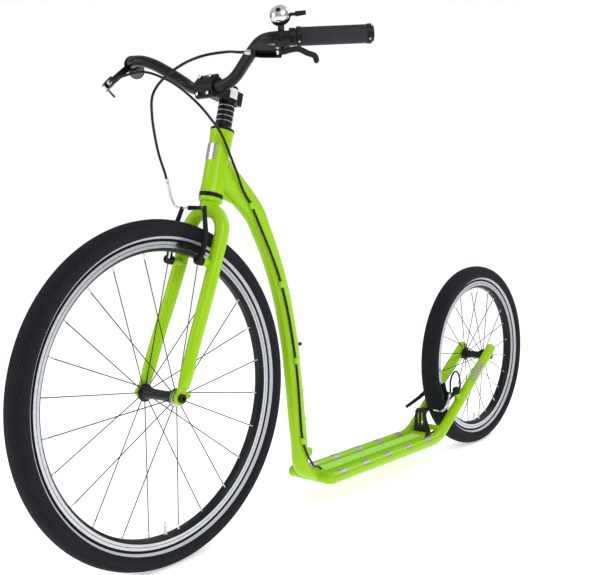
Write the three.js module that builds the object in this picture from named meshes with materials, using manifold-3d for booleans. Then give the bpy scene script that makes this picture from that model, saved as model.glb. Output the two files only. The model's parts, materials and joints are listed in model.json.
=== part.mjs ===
// Kick bike: an adult scooter with a large front wheel, a small rear wheel and a low deck.
// Millimetres. +X points forward, +Y to the rider's left, +Z up. The origin lies on the ground,
// midway along the overall length.
import * as THREE from "three";
import { mergeVertices } from "three/addons/utils/BufferGeometryUtils.js";
import Module from "manifold-3d";

const wasm = await Module();
wasm.setup();

// Clearances
const seatGap = 0.3;
const cutOverrun = 6;
const weldOverlap = 3;

// Wheels: 26 x 1.75 in front, 20 x 1.75 behind
const frontWheelRadius = 326;
const rearWheelRadius = 246;
const wheelbase = 1158;
const tyreWidth = 47;
const tyreHeight = 45;
const rimWidth = 25;
const rimFlangeHeight = 5;
const rimFlangeWall = 2;
const rimDepth = 19;
const rimTrackHeight = 13;
const rimCrownHalfWidth = 6;
const spokesPerWheel = 24;
const firstSpokeAngle = 8.4;
const spokeRadius = 1;
const nippleRadius = 2;
const nippleLength = 12;
const spokeStagger = 2.5;
const valveRadius = 3;
const valveLength = 24;

// Hubs and axles
const flangeRadius = 17.5;
const flangeThickness = 3;
const hubBarrelRadius = 11.5;
const hubCapRadius = 13;
const hubCapLength = 2.2;
const hubWaistLength = 3;
const spokeHoleInset = 3;
const frontFlangeSpread = 42;
const rearFlangeSpread = 26;
const rearHubCapLength = 6;
const axleRadius = 4.7;
const locknutRadius = 8.5;
const axleBoltRadius = 8.5;
const axleBoltLength = 7;
const rearAxleBoltLength = 12;

// Steering geometry
const headAngle = 73.8;
const forkOffset = 40;
const forkLength = 393;

// Head tube and headset, measured along the steering axis from the lower headset ring
const lowerRingHalfHeight = 4;
const headTubeLength = 125;
const headTubeRadius = 22;
const headTubeFlare = 1.5;
const headTubeFlareLength = 10;
const headTubeBore = 17.6;
const cupSleeveLength = 12;
const upperCupHeight = 10;
const upperCupShoulder = 5;
const steererRadius = 14.3;
const steererWall = 2.2;
const spacerCount = 5;
const spacerPitch = 10;
const spacerWall = 2;
const badgeWidth = 25;
const badgeHeight = 33;
const badgeThickness = 1;
const badgeCentreHeight = 83;

// Fork
const crownCollarRadius = 23.2;
const crownCollarHeight = 8;
const crownNeckRadius = 19;
const crownNeckDepth = 30;
const crownArchRadius = 46;
const crownArchDepth = 29;
const bladeTopRadius = 14;
const bladeBottomRadius = 12.5;
const bladeSplay = 7;
const bladeEndAboveAxle = 19;
const dropoutThickness = 6;
const dropoutRadius = 13;
const dropoutNeckWidth = 19;
const forkSpacing = 53;
const eyeletRadius = 6;
const eyeletHoleRadius = 2.6;
const eyeletBack = 20;
const eyeletRise = 7;

// Main tube
const mainTubeWidth = 36;
const mainTubeDepth = 40;
const mainTubeTopDepth = 62;
const mainTubeFootWidth = 42;
const mainTubeFootDepth = 26;
const mainTubeReach = 278;
const mainTubeDrop = 678;
const guideLength = 14;
const guideWidth = 10;
const guideBoreRadius = 3.4;
const bossRadius = 4.5;
const pegRadius = 4;
const lugThickness = 6;
const lugSize = 20;
const lugHoleRadius = 4.5;

// Gusset under the head tube
const gussetThickness = 6;
const gussetReach = 114;
const gussetDrop = 52;
const gussetHoleRadius = 5;

// Deck
const deckHeight = 67;
const railSpread = 44;
const railFrontRadius = 13.6;
const railRearRadius = 13.2;
const stayRadius = 12.7;
const crossbarX = 89;
const crossbarCornerCut = 10;
const crossbarStub = 7;
const crossbarBossRadius = 13;
const crossbarBossReach = 70;
const railCornerX = -355.8;
const stayAngle = 35.6;
const stayBendRadius = 110;
const stayLength = 348.6;
const beamWidth = 34;
const beamTopAbove = 11;
const beamDepth = 22;
const beamLength = 402;
const beamRampRise = 12;
const beamPlate = 5;
const bridgeRadius = 7.5;
const bridgeX = -378;
const bridgeHeight = 88;

// Heel guard
const guardFootWidth = 41;
const guardTopWidth = 27;
const guardDepth = 22;
const guardTopDepth = 9;
const guardHeight = 52;
const guardFootBelow = 8;
const guardWall = 3;
const guardCorner = 5;
const guardSlotWidth = 6;
const guardSlotLength = 32;
const guardFaceX = -341;
const guardScrewRadius = 3;
const guardScrewHeight = 1.5;

// Rear dropouts
const rearDropoutOuter = 43;
const rearDropoutRadius = 15;
const stayReliefRadius = 14;
const rearBossDepth = 31;
const stayNotchRadius = 10;

// Stem
const stemHeight = 27;
const barHeightShare = 0.37;
const stemRadius = 18.5;
const stemReach = 54.3;
const stemArmWidth = 31;
const stemArmHeight = 25;
const stemEarReach = 30;
const stemEarWidth = 20;
const stemSlotWidth = 2.4;
const stemCapHeight = 4;
const barClampRadius = 12.7;
const faceplateWidth = 48;
const faceplateHeight = 45;
const faceplateDepth = 16;
const faceplateSplit = 1.2;
const faceplateBoltRadius = 3.6;
const faceplateBoltSpread = 14;
const faceplateBoltRise = 17;
const faceplateBoltHead = 2.5;
const cradleRadius = 20;

// Handlebar and grips
const barRadius = 11.1;
const barHalfWidth = 315;
const barClampHalfWidth = 25;
const barRise = 94.4;
const barSweep = 112.3;
const gripInnerY = 220;
const gripRadius = 16.2;
const gripRingRadius = 17.4;
const gripRingLength = 8;
const gripEndLength = 4;
const gripEndRadius = 14;

// Brake levers
const leverClampRadius = 15.5;
const leverClampWidth = 11;
const leverClampY = 215;
const leverReachX = 42.7;
const leverDropZ = 55;
const leverPivotY = 227;
const leverBodyLength = 47.5;
const leverBodyRise = -5.7;
const leverBodyLean = 29.1;
const leverSideRise = 8;
const leverBodyHeight = 15;
const leverBodyFront = 7.4;
const leverBodyBack = 13;
const leverBodyNose = 9;
const leverSlotHeight = 11;
const leverBackWall = 5;
const leverPinRadius = 2.5;
const leverHubRadius = 6.5;
const leverBladeLength = 64.5;
const leverBladeThickness = 6.5;
const leverBladeWidth = 10.2;
const leverArmWidth = 18;
const leverArmThickness = 13;
const adjusterRadius = 4.5;
const adjusterLength = 11;
const adjusterDrop = 1;

// Bell
const bellRadius = 18;
const bellDomeHeight = 14;
const bellBaseHeight = 8;
const bellCapRadius = 4.5;
const bellCapHeight = 1;
const bellClampRadius = 13.5;
const bellClampWidth = 8;
const bellClampY = 200;
const bellHeight = 37.3;
const bellReachX = 10.5;
const bellReachY = -3;
const bellWall = 1.6;
const bellBaseFloor = 3.2;
const bellTilt = 77;
const bellTurn = 25;
const bellTriggerTurn = 12;
const bellNeckRadius = 6;
const bellTriggerReach = 46;
const bellTriggerWidth = 7;
const bellTriggerThickness = 4;
const bellTriggerPaddle = 19;

// Brake arms, measured outwards from the axle
const frontPivotRadius = 257;
const rearPivotRadius = 180;
const brakePivotSpread = 41;
const brakeBossRadius = 8;
const brakeStudRadius = 4;
const brakeHubRadius = 9;
const brakeHubLength = 13;
const brakeArmLength = 104;
const brakeArmWidth = 13;
const brakeArmDepth = 11;
const brakeArmBow = 5.5;
const frontArmTopSpread = 30;
const rearArmTopSpread = 51;
const studHeadHeight = 3;
const rearArmOffset = 9;
const rearBrakeAngle = 20.5;
const padLength = 60;
const padHeight = 10;
const padThickness = 8;
const padGap = 2.8;
const padCentreBelowRim = 6.5;
const padWasherRadius = 7;
const padWasherThickness = 4;
const padPostRadius = 3;
const noodleRadius = 2.4;
const bootRadius = 4.6;
const bootLength = 26;
const wireRadius = 1.2;

// Cables
const cableRadius = 2.5;

// Facet counts
const wheelFacets = 44;
const tubeSides = 12;
const barSides = 12;
const cableSides = 6;
const roundSides = 16;
const spokeSides = 4;

// Places worked out from the driving dimensions
const overallLength = wheelbase + frontWheelRadius + rearWheelRadius;
const frontAxleX = overallLength / 2 - frontWheelRadius;
const rearAxleX = rearWheelRadius - overallLength / 2;
const headTilt = THREE.MathUtils.degToRad(90 - headAngle);
const steerX = new THREE.Vector3(Math.cos(headTilt), 0, Math.sin(headTilt));
const steerZ = new THREE.Vector3(-Math.sin(headTilt), 0, Math.cos(headTilt));
const frontAxle = new THREE.Vector3(frontAxleX, 0, frontWheelRadius);
const rearAxle = new THREE.Vector3(rearAxleX, 0, rearWheelRadius);
const steerOrigin = frontAxle.clone()
  .addScaledVector(steerX, -forkOffset)
  .addScaledVector(steerZ, forkLength);
const spacerTop = lowerRingHalfHeight + headTubeLength + upperCupHeight + spacerCount * spacerPitch;
const stemTop = spacerTop + stemHeight;
const barHeight = spacerTop + stemHeight * barHeightShare;

const paint = (color, roughness, metalness) => (
  new THREE.MeshStandardMaterial({ color, roughness, metalness })
);
const finishes = {
  frame: paint(0x9be10a, 0.3, 0.1),
  blackMetal: paint(0x1b1b1d, 0.45, 0.3),
  silver: paint(0xc9ccd0, 0.3, 0.9),
  rim: paint(0x2a2a2c, 0.4, 0.6),
  tyre: paint(0x202124, 0.85, 0),
  rubber: paint(0x232428, 0.8, 0),
  plastic: paint(0x17181a, 0.5, 0),
  cable: paint(0x101114, 0.45, 0),
};

const vec = (x, y, z) => new THREE.Vector3(x, y, z);
const radians = THREE.MathUtils.degToRad;

// Only positions are kept, shared corners are merged and collapsed triangles are dropped.
function welded(geometry) {
  const bare = new THREE.BufferGeometry();
  bare.setAttribute("position", geometry.getAttribute("position").clone());
  if (geometry.index) bare.setIndex(geometry.index.clone());
  const merged = mergeVertices(bare, 1e-4);
  const index = merged.index.array;
  const kept = [];
  for (let i = 0; i < index.length; i += 3) {
    const [a, b, c] = [index[i], index[i + 1], index[i + 2]];
    if (a !== b && b !== c && a !== c) kept.push(a, b, c);
  }
  merged.setIndex(kept);
  return outward(merged);
}

// A closed mesh with a negative volume is inside out, so its triangles are turned round.
function outward(geometry) {
  const p = geometry.getAttribute("position");
  const index = geometry.index.array;
  const [a, b, c] = [vec(), vec(), vec()];
  let volume = 0;
  for (let i = 0; i < index.length; i += 3) {
    a.fromBufferAttribute(p, index[i]);
    b.fromBufferAttribute(p, index[i + 1]);
    c.fromBufferAttribute(p, index[i + 2]);
    volume += a.dot(b.cross(c));
  }
  if (volume < 0) {
    for (let i = 0; i < index.length; i += 3) [index[i + 1], index[i + 2]] = [index[i + 2], index[i + 1]];
  }
  return geometry;
}

function solid(geometry) {
  const shape = welded(geometry);
  const vertProperties = new Float32Array(shape.getAttribute("position").array);
  const triVerts = new Uint32Array(shape.index.array);
  return new wasm.Manifold(new wasm.Mesh({ numProp: 3, vertProperties, triVerts }));
}

function meshGeometry(manifold) {
  const mesh = manifold.getMesh();
  const geometry = new THREE.BufferGeometry();
  geometry.setAttribute("position", new THREE.BufferAttribute(new Float32Array(mesh.vertProperties), 3));
  geometry.setIndex(new THREE.BufferAttribute(new Uint32Array(mesh.triVerts), 1));
  return geometry;
}

const asSolid = (piece) => (piece.isBufferGeometry ? solid(piece) : piece);
const joined = (...pieces) => pieces.map(asSolid).reduce((sum, piece) => sum.add(piece));
const cut = (piece, ...tools) => (
  tools.map(asSolid).reduce((rest, tool) => rest.subtract(tool), asSolid(piece))
);
const kept = (piece, ...tools) => (
  tools.map(asSolid).reduce((rest, tool) => rest.intersect(tool), asSolid(piece))
);

function addPiece(group, name, piece, material) {
  const geometry = piece.isBufferGeometry ? welded(piece) : welded(meshGeometry(piece));
  geometry.computeVertexNormals();
  const mesh = new THREE.Mesh(geometry, material);
  mesh.name = name;
  group.add(mesh);
  return mesh;
}

// A block between two opposite corners.
function block(low, high) {
  const size = high.clone().sub(low);
  const centre = high.clone().add(low).multiplyScalar(0.5);
  return new THREE.BoxGeometry(size.x, size.y, size.z).translate(centre.x, centre.y, centre.z);
}

// A turned piece: pairs of radius and distance along the axis that runs from one point towards another.
function turned(profile, from, towards, facets = roundSides, phase = 0) {
  const points = profile.map(([radius, along]) => new THREE.Vector2(radius, along));
  const open = profile[0][0] > 0;
  if (open) points.push(points[0].clone());
  const geometry = new THREE.LatheGeometry(points, facets, phase);
  const turn = new THREE.Quaternion().setFromUnitVectors(
    vec(0, 1, 0), towards.clone().sub(from).normalize(),
  );
  return geometry.applyQuaternion(turn).translate(from.x, from.y, from.z);
}

function rod(from, to, radius, facets = roundSides) {
  const length = from.distanceTo(to);
  return turned([[0, 0], [radius, 0], [radius, length], [0, length]], from, to, facets);
}

// A tapered tube: a ring of points round every place on the path, closed by a fan at each end.
// Each radius is a number or a pair, sideways and across; sideways lies along the given direction.
function tapered(path, radii, sideways, sides = tubeSides) {
  const positions = [];
  const index = [];
  const last = path.length - 1;
  path.forEach((point, i) => {
    const before = path[Math.max(i - 1, 0)];
    const after = path[Math.min(i + 1, last)];
    const ahead = after.clone().sub(point).normalize();
    const behind = point.clone().sub(before).normalize();
    const along = ahead.add(behind).normalize();
    const side = sideways.clone().addScaledVector(along, -sideways.dot(along)).normalize();
    const across = vec().crossVectors(along, side);
    const [wide, deep] = [radii[i]].flat().length > 1 ? radii[i] : [radii[i], radii[i]];
    for (let k = 0; k < sides; k += 1) {
      const angle = (2 * Math.PI * k) / sides;
      const place = point.clone();
      place.addScaledVector(side, wide * Math.cos(angle)).addScaledVector(across, deep * Math.sin(angle));
      positions.push(place.x, place.y, place.z);
    }
  });
  for (let i = 0; i < last; i += 1) {
    for (let k = 0; k < sides; k += 1) {
      const next = (k + 1) % sides;
      const [a, b, c, d] = [i * sides + k, i * sides + next, (i + 1) * sides + next, (i + 1) * sides + k];
      index.push(a, b, c, a, c, d);
    }
  }
  for (const ring of [0, last]) {
    const centre = positions.length / 3;
    positions.push(path[ring].x, path[ring].y, path[ring].z);
    for (let k = 0; k < sides; k += 1) {
      const pair = [ring * sides + k, ring * sides + ((k + 1) % sides)];
      if (ring === 0) pair.reverse();
      index.push(centre, ...pair);
    }
  }
  const geometry = new THREE.BufferGeometry();
  geometry.setAttribute("position", new THREE.BufferAttribute(new Float32Array(positions), 3));
  geometry.setIndex(index);
  return geometry;
}

const smooth = (points, steps) => (
  new THREE.CatmullRomCurve3(points, false, "centripetal").getSpacedPoints(steps)
);

// A cable of one thickness along a smooth curve through its points.
function cable(points, radius, steps, sides = cableSides) {
  const section = new THREE.Shape();
  for (let k = 0; k < sides; k += 1) {
    const angle = (2 * Math.PI * k) / sides;
    if (k === 0) section.moveTo(radius, 0);
    else section.lineTo(radius * Math.cos(angle), radius * Math.sin(angle));
  }
  section.closePath();
  const path = new THREE.CatmullRomCurve3(points, false, "centripetal");
  return new THREE.ExtrudeGeometry(section, { steps, extrudePath: path, bevelEnabled: false });
}

// A plate whose outline lies in the XZ plane and whose thickness is centred on one Y.
function plateXZ(outline, thickness, y, holes = []) {
  const points = outline.map(([x, z]) => new THREE.Vector2(x, z));
  const shape = new THREE.Shape(THREE.ShapeUtils.isClockWise(points) ? points.reverse() : points);
  for (const [x, z, radius] of holes) {
    shape.holes.push(new THREE.Path().absarc(x, z, radius, 0, 2 * Math.PI, true));
  }
  const geometry = new THREE.ExtrudeGeometry(
    shape, { depth: thickness, bevelEnabled: false, curveSegments: 6 },
  );
  return geometry.rotateX(Math.PI / 2).translate(0, y + thickness / 2, 0);
}

// A plate whose outline lies in the XY plane and whose thickness is centred on Z = 0.
function plateXY(outline, thickness) {
  const shape = new THREE.Shape(outline.map(([x, y]) => new THREE.Vector2(x, y)));
  const geometry = new THREE.ExtrudeGeometry(
    shape, { depth: thickness, bevelEnabled: false, curveSegments: 6 },
  );
  return geometry.translate(0, 0, -thickness / 2);
}

const mirrored = (points) => points.map((p) => vec(p.x, -p.y, p.z));
const sideOf = { left: 1, right: -1 };

// Groups: the frame stands still, the steering group leans with the head angle and turns.
const bike = new THREE.Group();
bike.name = "kick_bike";
const steering = new THREE.Group();
steering.position.copy(steerOrigin);
steering.rotation.y = -headTilt;
bike.add(steering);

// Wheels

// Shares of half the tyre width and of the tyre height, from one bead over the tread.
const tyreOuterShares = [[0.434, 0], [0.434, 0.14], [0.89, 0.37], [1, 0.62], [0.72, 0.91], [0, 1]];
const tyreInnerShares = [[0.28, 0], [0.6, 0.7]];

function tyre(wheelRadius) {
  const half = tyreWidth / 2;
  const bead = wheelRadius - tyreHeight;
  const point = ([wide, high], side) => [bead + tyreHeight * high, side * half * wide];
  const outer = tyreOuterShares.map((share) => point(share, 1));
  const outerBack = tyreOuterShares.slice(0, -1).reverse().map((share) => point(share, -1));
  const inner = tyreInnerShares.map((share) => point(share, -1));
  const innerBack = tyreInnerShares.slice().reverse().map((share) => point(share, 1));
  return turned([...outer, ...outerBack, ...inner, ...innerBack], vec(0, 0, 0), vec(0, 1, 0), wheelFacets);
}

function rim(wheelRadius) {
  const half = rimWidth / 2;
  const seat = wheelRadius - tyreHeight - seatGap;
  const lip = wheelRadius - tyreHeight + rimFlangeHeight;
  const crown = lip - rimDepth;
  const track = lip - rimTrackHeight;
  const inside = half - rimFlangeWall;
  const profile = [
    [lip, half], [track, half], [crown, rimCrownHalfWidth], [crown, -rimCrownHalfWidth], [track, -half],
    [lip, -half], [lip, -inside], [seat, -inside], [seat, inside], [lip, inside],
  ];
  const ring = turned(profile, vec(0, 0, 0), vec(0, 1, 0), wheelFacets);
  const valveFoot = vec(0, 0, -(crown + (seat - crown) / 2));
  const valveTip = vec(0, 0, -(crown - valveLength));
  return joined(ring, rod(valveFoot, valveTip, valveRadius, 8));
}

function hubEnd(flangeSpread, capLength) {
  return flangeSpread + flangeThickness / 2 + capLength;
}

// The hub shell with its spokes: every spoke runs straight out, even ones from the right flange.
function hubWithSpokes(wheelRadius, flangeSpread, capLength) {
  const bore = (axleRadius + seatGap) / Math.cos(Math.PI / roundSides);
  const face = flangeSpread + flangeThickness / 2;
  const inner = flangeSpread - flangeThickness / 2;
  const waist = inner - hubWaistLength;
  const end = hubEnd(flangeSpread, capLength);
  const half = [
    [hubBarrelRadius, waist], [flangeRadius, inner], [flangeRadius, face], [hubCapRadius, face],
    [hubCapRadius, end], [bore, end],
  ];
  const other = half.map(([radius, along]) => [radius, -along]).reverse();
  let hub = solid(turned([...other, ...half], vec(0, 0, 0), vec(0, 1, 0), roundSides));
  const crown = wheelRadius - tyreHeight + rimFlangeHeight - rimDepth;
  const reach = crown * Math.cos(Math.PI / wheelFacets) - seatGap;
  const start = flangeRadius - spokeHoleInset;
  for (let k = 0; k < spokesPerWheel; k += 1) {
    const angle = radians(firstSpokeAngle + (360 * k) / spokesPerWheel);
    const side = k % 2 === 0 ? -1 : 1;
    const out = vec(Math.cos(angle), 0, Math.sin(angle));
    const foot = out.clone().multiplyScalar(start).setY(side * flangeSpread);
    const tip = out.clone().multiplyScalar(reach).setY(side * spokeStagger);
    const neck = tip.clone().lerp(foot, nippleLength / tip.distanceTo(foot));
    const spoke = tapered(
      [foot, neck, tip], [spokeRadius, spokeRadius, nippleRadius], vec(0, 1, 0), spokeSides,
    );
    hub = hub.add(solid(spoke));
  }
  return hub;
}

// An axle with its locknuts inside the dropouts and a bolt head outside each of them.
function axle(hubFace, dropoutInner, dropoutOuter, boltLength) {
  const nutStart = hubFace + seatGap;
  const half = [
    [axleRadius, nutStart], [locknutRadius, nutStart], [locknutRadius, dropoutInner - seatGap],
    [axleRadius, dropoutInner - seatGap], [axleRadius, dropoutOuter + seatGap],
    [axleBoltRadius, dropoutOuter + seatGap], [axleBoltRadius, dropoutOuter + seatGap + boltLength],
    [0, dropoutOuter + seatGap + boltLength],
  ];
  const other = half.map(([radius, along]) => [radius, -along]).reverse();
  return turned([...other, ...half], vec(0, 0, 0), vec(0, 1, 0), barSides);
}

function addWheel(parent, label, position, upright, wheelRadius, flangeSpread, capLength) {
  const wheel = new THREE.Group();
  wheel.position.copy(position);
  wheel.rotation.y = upright;
  parent.add(wheel);
  addPiece(wheel, `${label}_tyre`, tyre(wheelRadius), finishes.tyre);
  addPiece(wheel, `${label}_rim`, rim(wheelRadius), finishes.rim);
  addPiece(
    wheel, `${label}_hub_spokes`, hubWithSpokes(wheelRadius, flangeSpread, capLength), finishes.blackMetal,
  );
}

const frontDropoutInner = forkSpacing - dropoutThickness / 2;
const frontDropoutOuter = forkSpacing + dropoutThickness / 2;
const rearDropoutInner = rearDropoutOuter - dropoutThickness;
const steeredAxle = vec(forkOffset, 0, -forkLength);
addWheel(steering, "front", steeredAxle, headTilt, frontWheelRadius, frontFlangeSpread, hubCapLength);
addWheel(bike, "rear", rearAxle, 0, rearWheelRadius, rearFlangeSpread, rearHubCapLength);
const frontHubFace = hubEnd(frontFlangeSpread, hubCapLength);
const rearHubFace = hubEnd(rearFlangeSpread, rearHubCapLength);
const frontAxlePiece = axle(frontHubFace, frontDropoutInner, frontDropoutOuter, axleBoltLength);
frontAxlePiece.translate(steeredAxle.x, steeredAxle.y, steeredAxle.z);
addPiece(steering, "front_axle", frontAxlePiece, finishes.blackMetal);
const rearAxlePiece = axle(rearHubFace, rearDropoutInner, rearDropoutOuter, rearAxleBoltLength);
rearAxlePiece.translate(rearAxle.x, rearAxle.y, rearAxle.z);
addPiece(bike, "rear_axle", rearAxlePiece, finishes.blackMetal);

// Brake places: the front pair stands on the fork, the rear pair on the stays.
// In a brake's own frame X is the pivot axis, Z points out from the axle and Y is sideways.
function brakeMatrix(origin, pivotAxis, outwards) {
  const sideways = vec().crossVectors(outwards, pivotAxis);
  const basis = new THREE.Matrix4().makeBasis(pivotAxis, sideways, outwards);
  return basis.setPosition(origin);
}

const rearOut = vec(Math.cos(radians(rearBrakeAngle)), 0, -Math.sin(radians(rearBrakeAngle)));
const rearPivotAxis = vec(Math.sin(radians(rearBrakeAngle)), 0, Math.cos(radians(rearBrakeAngle)));
const rearBrakeOrigin = rearAxle.clone().addScaledVector(rearPivotAxis, -rearArmOffset);
const frontBrakeMatrix = brakeMatrix(steeredAxle, vec(1, 0, 0), vec(0, 0, 1));
const rearBrakeMatrix = brakeMatrix(rearBrakeOrigin, rearPivotAxis, rearOut);

// A stud that a brake arm turns on, with its bolt head in front, and the boss that carries it.
function brakeStud(pivotRadius, side, bossDepth) {
  const back = -brakeHubLength / 2 - seatGap;
  const front = brakeHubLength / 2 + seatGap;
  const foot = vec(back - bossDepth, side * brakePivotSpread, pivotRadius);
  const profile = [
    [0, 0], [brakeBossRadius, 0], [brakeBossRadius, bossDepth], [brakeStudRadius, bossDepth],
    [brakeStudRadius, bossDepth + front - back], [brakeBossRadius, bossDepth + front - back],
    [brakeBossRadius, bossDepth + front - back + studHeadHeight],
    [0, bossDepth + front - back + studHeadHeight],
  ];
  return turned(profile, foot, foot.clone().add(vec(1, 0, 0)), barSides);
}

// Head tube and headset
const headTubeTop = lowerRingHalfHeight + headTubeLength;
const cupRadius = headTubeRadius + headTubeFlare;
const steeringAxisUp = vec(0, 0, 1);
const axisStart = vec(0, 0, 0);

function headTube(extra, bore = headTubeBore) {
  const [low, high] = [lowerRingHalfHeight - extra, headTubeTop + extra];
  const wall = headTubeRadius + extra;
  const flared = wall + headTubeFlare;
  const profile = [
    [bore, low], [flared, low], [wall, low + headTubeFlareLength], [wall, high - headTubeFlareLength],
    [flared, high], [bore, high],
  ];
  return turned(profile, axisStart, steeringAxisUp, roundSides);
}

function inFrame(geometry) {
  return geometry.rotateY(-headTilt).translate(steerOrigin.x, steerOrigin.y, steerOrigin.z);
}

const cupBore = (steererRadius + seatGap) / Math.cos(Math.PI / roundSides);
const sleeveRadius = (headTubeBore - seatGap) * Math.cos(Math.PI / roundSides);
const lowerCup = turned([
  [cupBore, -lowerRingHalfHeight], [cupRadius, -lowerRingHalfHeight],
  [cupRadius, lowerRingHalfHeight - seatGap], [sleeveRadius, lowerRingHalfHeight - seatGap],
  [sleeveRadius, lowerRingHalfHeight + cupSleeveLength], [cupBore, lowerRingHalfHeight + cupSleeveLength],
], axisStart, steeringAxisUp, roundSides);
const upperCup = turned([
  [cupBore, headTubeTop - cupSleeveLength], [sleeveRadius, headTubeTop - cupSleeveLength],
  [sleeveRadius, headTubeTop + seatGap], [cupRadius, headTubeTop + seatGap],
  [cupRadius, headTubeTop + upperCupShoulder], [steererRadius + spacerWall, headTubeTop + upperCupHeight],
  [cupBore, headTubeTop + upperCupHeight],
], axisStart, steeringAxisUp, roundSides);
addPiece(bike, "head_tube", inFrame(headTube(0)), finishes.frame);
addPiece(bike, "headset_lower_cup", inFrame(lowerCup), finishes.blackMetal);
addPiece(bike, "headset_upper_cup", inFrame(upperCup), finishes.blackMetal);

function headBadge() {
  const inner = headTubeRadius + seatGap;
  const outer = inner + badgeThickness;
  const reach = badgeWidth / 2 / inner;
  const shape = new THREE.Shape();
  shape.absarc(0, 0, outer, -reach, reach, false);
  shape.absarc(0, 0, inner, reach, -reach, true);
  const plate = new THREE.ExtrudeGeometry(
    shape, { depth: badgeHeight, bevelEnabled: false, curveSegments: 6 },
  );
  return inFrame(plate.translate(0, 0, badgeCentreHeight - badgeHeight / 2));
}
addPiece(bike, "head_badge", headBadge(), finishes.silver);

// Fork

// Shares of the blade's drop below the arch, of its forward reach and of its splay.
const bladeShares = [
  [0.13, 0.1, 0.1], [0.3, 0.25, 0.22], [0.48, 0.45, 0.4], [0.68, 0.7, 0.6], [0.85, 0.87, 0.8],
];

function forkBladePath(side) {
  const archTop = -crownArchDepth;
  const archFoot = archTop - crownArchRadius;
  const end = -forkLength + bladeEndAboveAxle;
  const reach = forkOffset - dropoutNeckWidth / 4;
  const arch = [0, 0.2, 0.4, 0.6, 0.8, 1].map((share) => {
    const angle = (Math.PI / 2) * share;
    return vec(0, side * crownArchRadius * Math.sin(angle), archFoot + crownArchRadius * Math.cos(angle));
  });
  const beyond = vec(0, -side * weldOverlap, archTop);
  const leg = bladeShares.map(([drop, forward, splay]) => (
    vec(reach * forward, side * (crownArchRadius + bladeSplay * splay), archFoot + (end - archFoot) * drop)
  ));
  return [beyond, ...arch, ...leg, vec(reach, side * forkSpacing, end)];
}

// The arch turns from sideways to downwards, so its rings take the forward direction as reference.
function forkBlade(side, extra = 0) {
  const path = forkBladePath(side);
  const last = path.length - 1;
  const radii = path.map((_, i) => {
    const taper = bladeTopRadius + (bladeBottomRadius - bladeTopRadius) * (i / last) + extra;
    return i === last ? [bladeBottomRadius * 0.75, bladeBottomRadius / 2] : taper;
  });
  return tapered(path, radii, vec(1, 0, 0), tubeSides);
}

// The two arches meet in the middle plane, each cut back by half a gap.
function acrossMiddle(side) {
  const reach = crownArchRadius;
  const [low, high] = side > 0 ? [-reach, seatGap / 2] : [-seatGap / 2, reach];
  return block(vec(-reach, low, -crownArchDepth - reach), vec(reach, high, 0));
}

function forkDropout(side) {
  const arc = [];
  for (let k = 0; k <= 8; k += 1) {
    const angle = Math.PI + (Math.PI * k) / 8;
    arc.push([forkOffset + dropoutRadius * Math.cos(angle), -forkLength + dropoutRadius * Math.sin(angle)]);
  }
  const top = -forkLength + bladeEndAboveAxle + weldOverlap * 3;
  const centre = forkOffset - dropoutNeckWidth / 4;
  const neck = [[centre + dropoutNeckWidth / 2, top], [centre - dropoutNeckWidth / 2, top]];
  const axleHole = (axleRadius + seatGap) / Math.cos(Math.PI / 12);
  const hole = [forkOffset, -forkLength, axleHole];
  const plate = plateXZ([...arc, ...neck], dropoutThickness, side * forkSpacing, [hole]);
  const eye = vec(forkOffset - eyeletBack, side * forkSpacing, -forkLength + eyeletRise);
  const half = vec(0, dropoutThickness / 2, 0);
  const eyelet = rod(eye.clone().sub(half), eye.clone().add(half), eyeletRadius, 12);
  const web = plateXZ([
    [eye.x, eye.z - eyeletRadius], [eye.x, eye.z + eyeletRadius],
    [forkOffset - axleHole - weldOverlap, eye.z + eyeletRadius],
    [forkOffset - axleHole - weldOverlap, eye.z - eyeletRadius],
  ], dropoutThickness, side * forkSpacing);
  const through = vec(0, dropoutThickness, 0);
  const drill = rod(eye.clone().sub(through), eye.clone().add(through), eyeletHoleRadius, 8);
  return cut(joined(plate, eyelet, web), drill);
}

const bossReach = forkOffset - brakeHubLength / 2 - seatGap;
function addForkBlade(label) {
  const side = sideOf[label];
  const stud = brakeStud(frontPivotRadius, side, bossReach).applyMatrix4(frontBrakeMatrix);
  const blade = joined(cut(forkBlade(side), acrossMiddle(side)), forkDropout(side), stud);
  addPiece(steering, `fork_blade_${label}`, blade, finishes.frame);
}
addForkBlade("left");
addForkBlade("right");

function steerer() {
  const bore = steererRadius - steererWall;
  const shoulder = -lowerRingHalfHeight - seatGap;
  const profile = [
    [0, -crownNeckDepth], [crownNeckRadius, -crownNeckDepth],
    [crownNeckRadius, shoulder - crownCollarHeight],
    [crownCollarRadius, shoulder], [steererRadius, shoulder], [steererRadius, stemTop - seatGap],
    [bore, stemTop - seatGap], [bore, 0], [0, 0],
  ];
  const tube = turned(profile, axisStart, steeringAxisUp, roundSides);
  return cut(tube, forkBlade(1, seatGap), forkBlade(-1, seatGap));
}
addPiece(steering, "steerer_tube", steerer(), finishes.frame);

// Spacers, stem and cap

for (let k = 0; k < spacerCount; k += 1) {
  const low = headTubeTop + upperCupHeight + k * spacerPitch + seatGap;
  const high = low + spacerPitch - seatGap;
  const wall = steererRadius + spacerWall;
  const ring = turned(
    [[cupBore, low], [wall, low], [wall, high], [cupBore, high]], axisStart, steeringAxisUp, roundSides,
  );
  addPiece(steering, `headset_spacer_${k + 1}`, ring, finishes.blackMetal);
}

const barCentre = vec(stemReach, 0, barHeight);
const clampBore = (barClampRadius + seatGap) / Math.cos(Math.PI / roundSides);
const splitX = stemReach + faceplateSplit;

function barBore() {
  const reach = vec(0, faceplateWidth, 0);
  return rod(barCentre.clone().sub(reach), barCentre.clone().add(reach), clampBore, roundSides);
}

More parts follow.
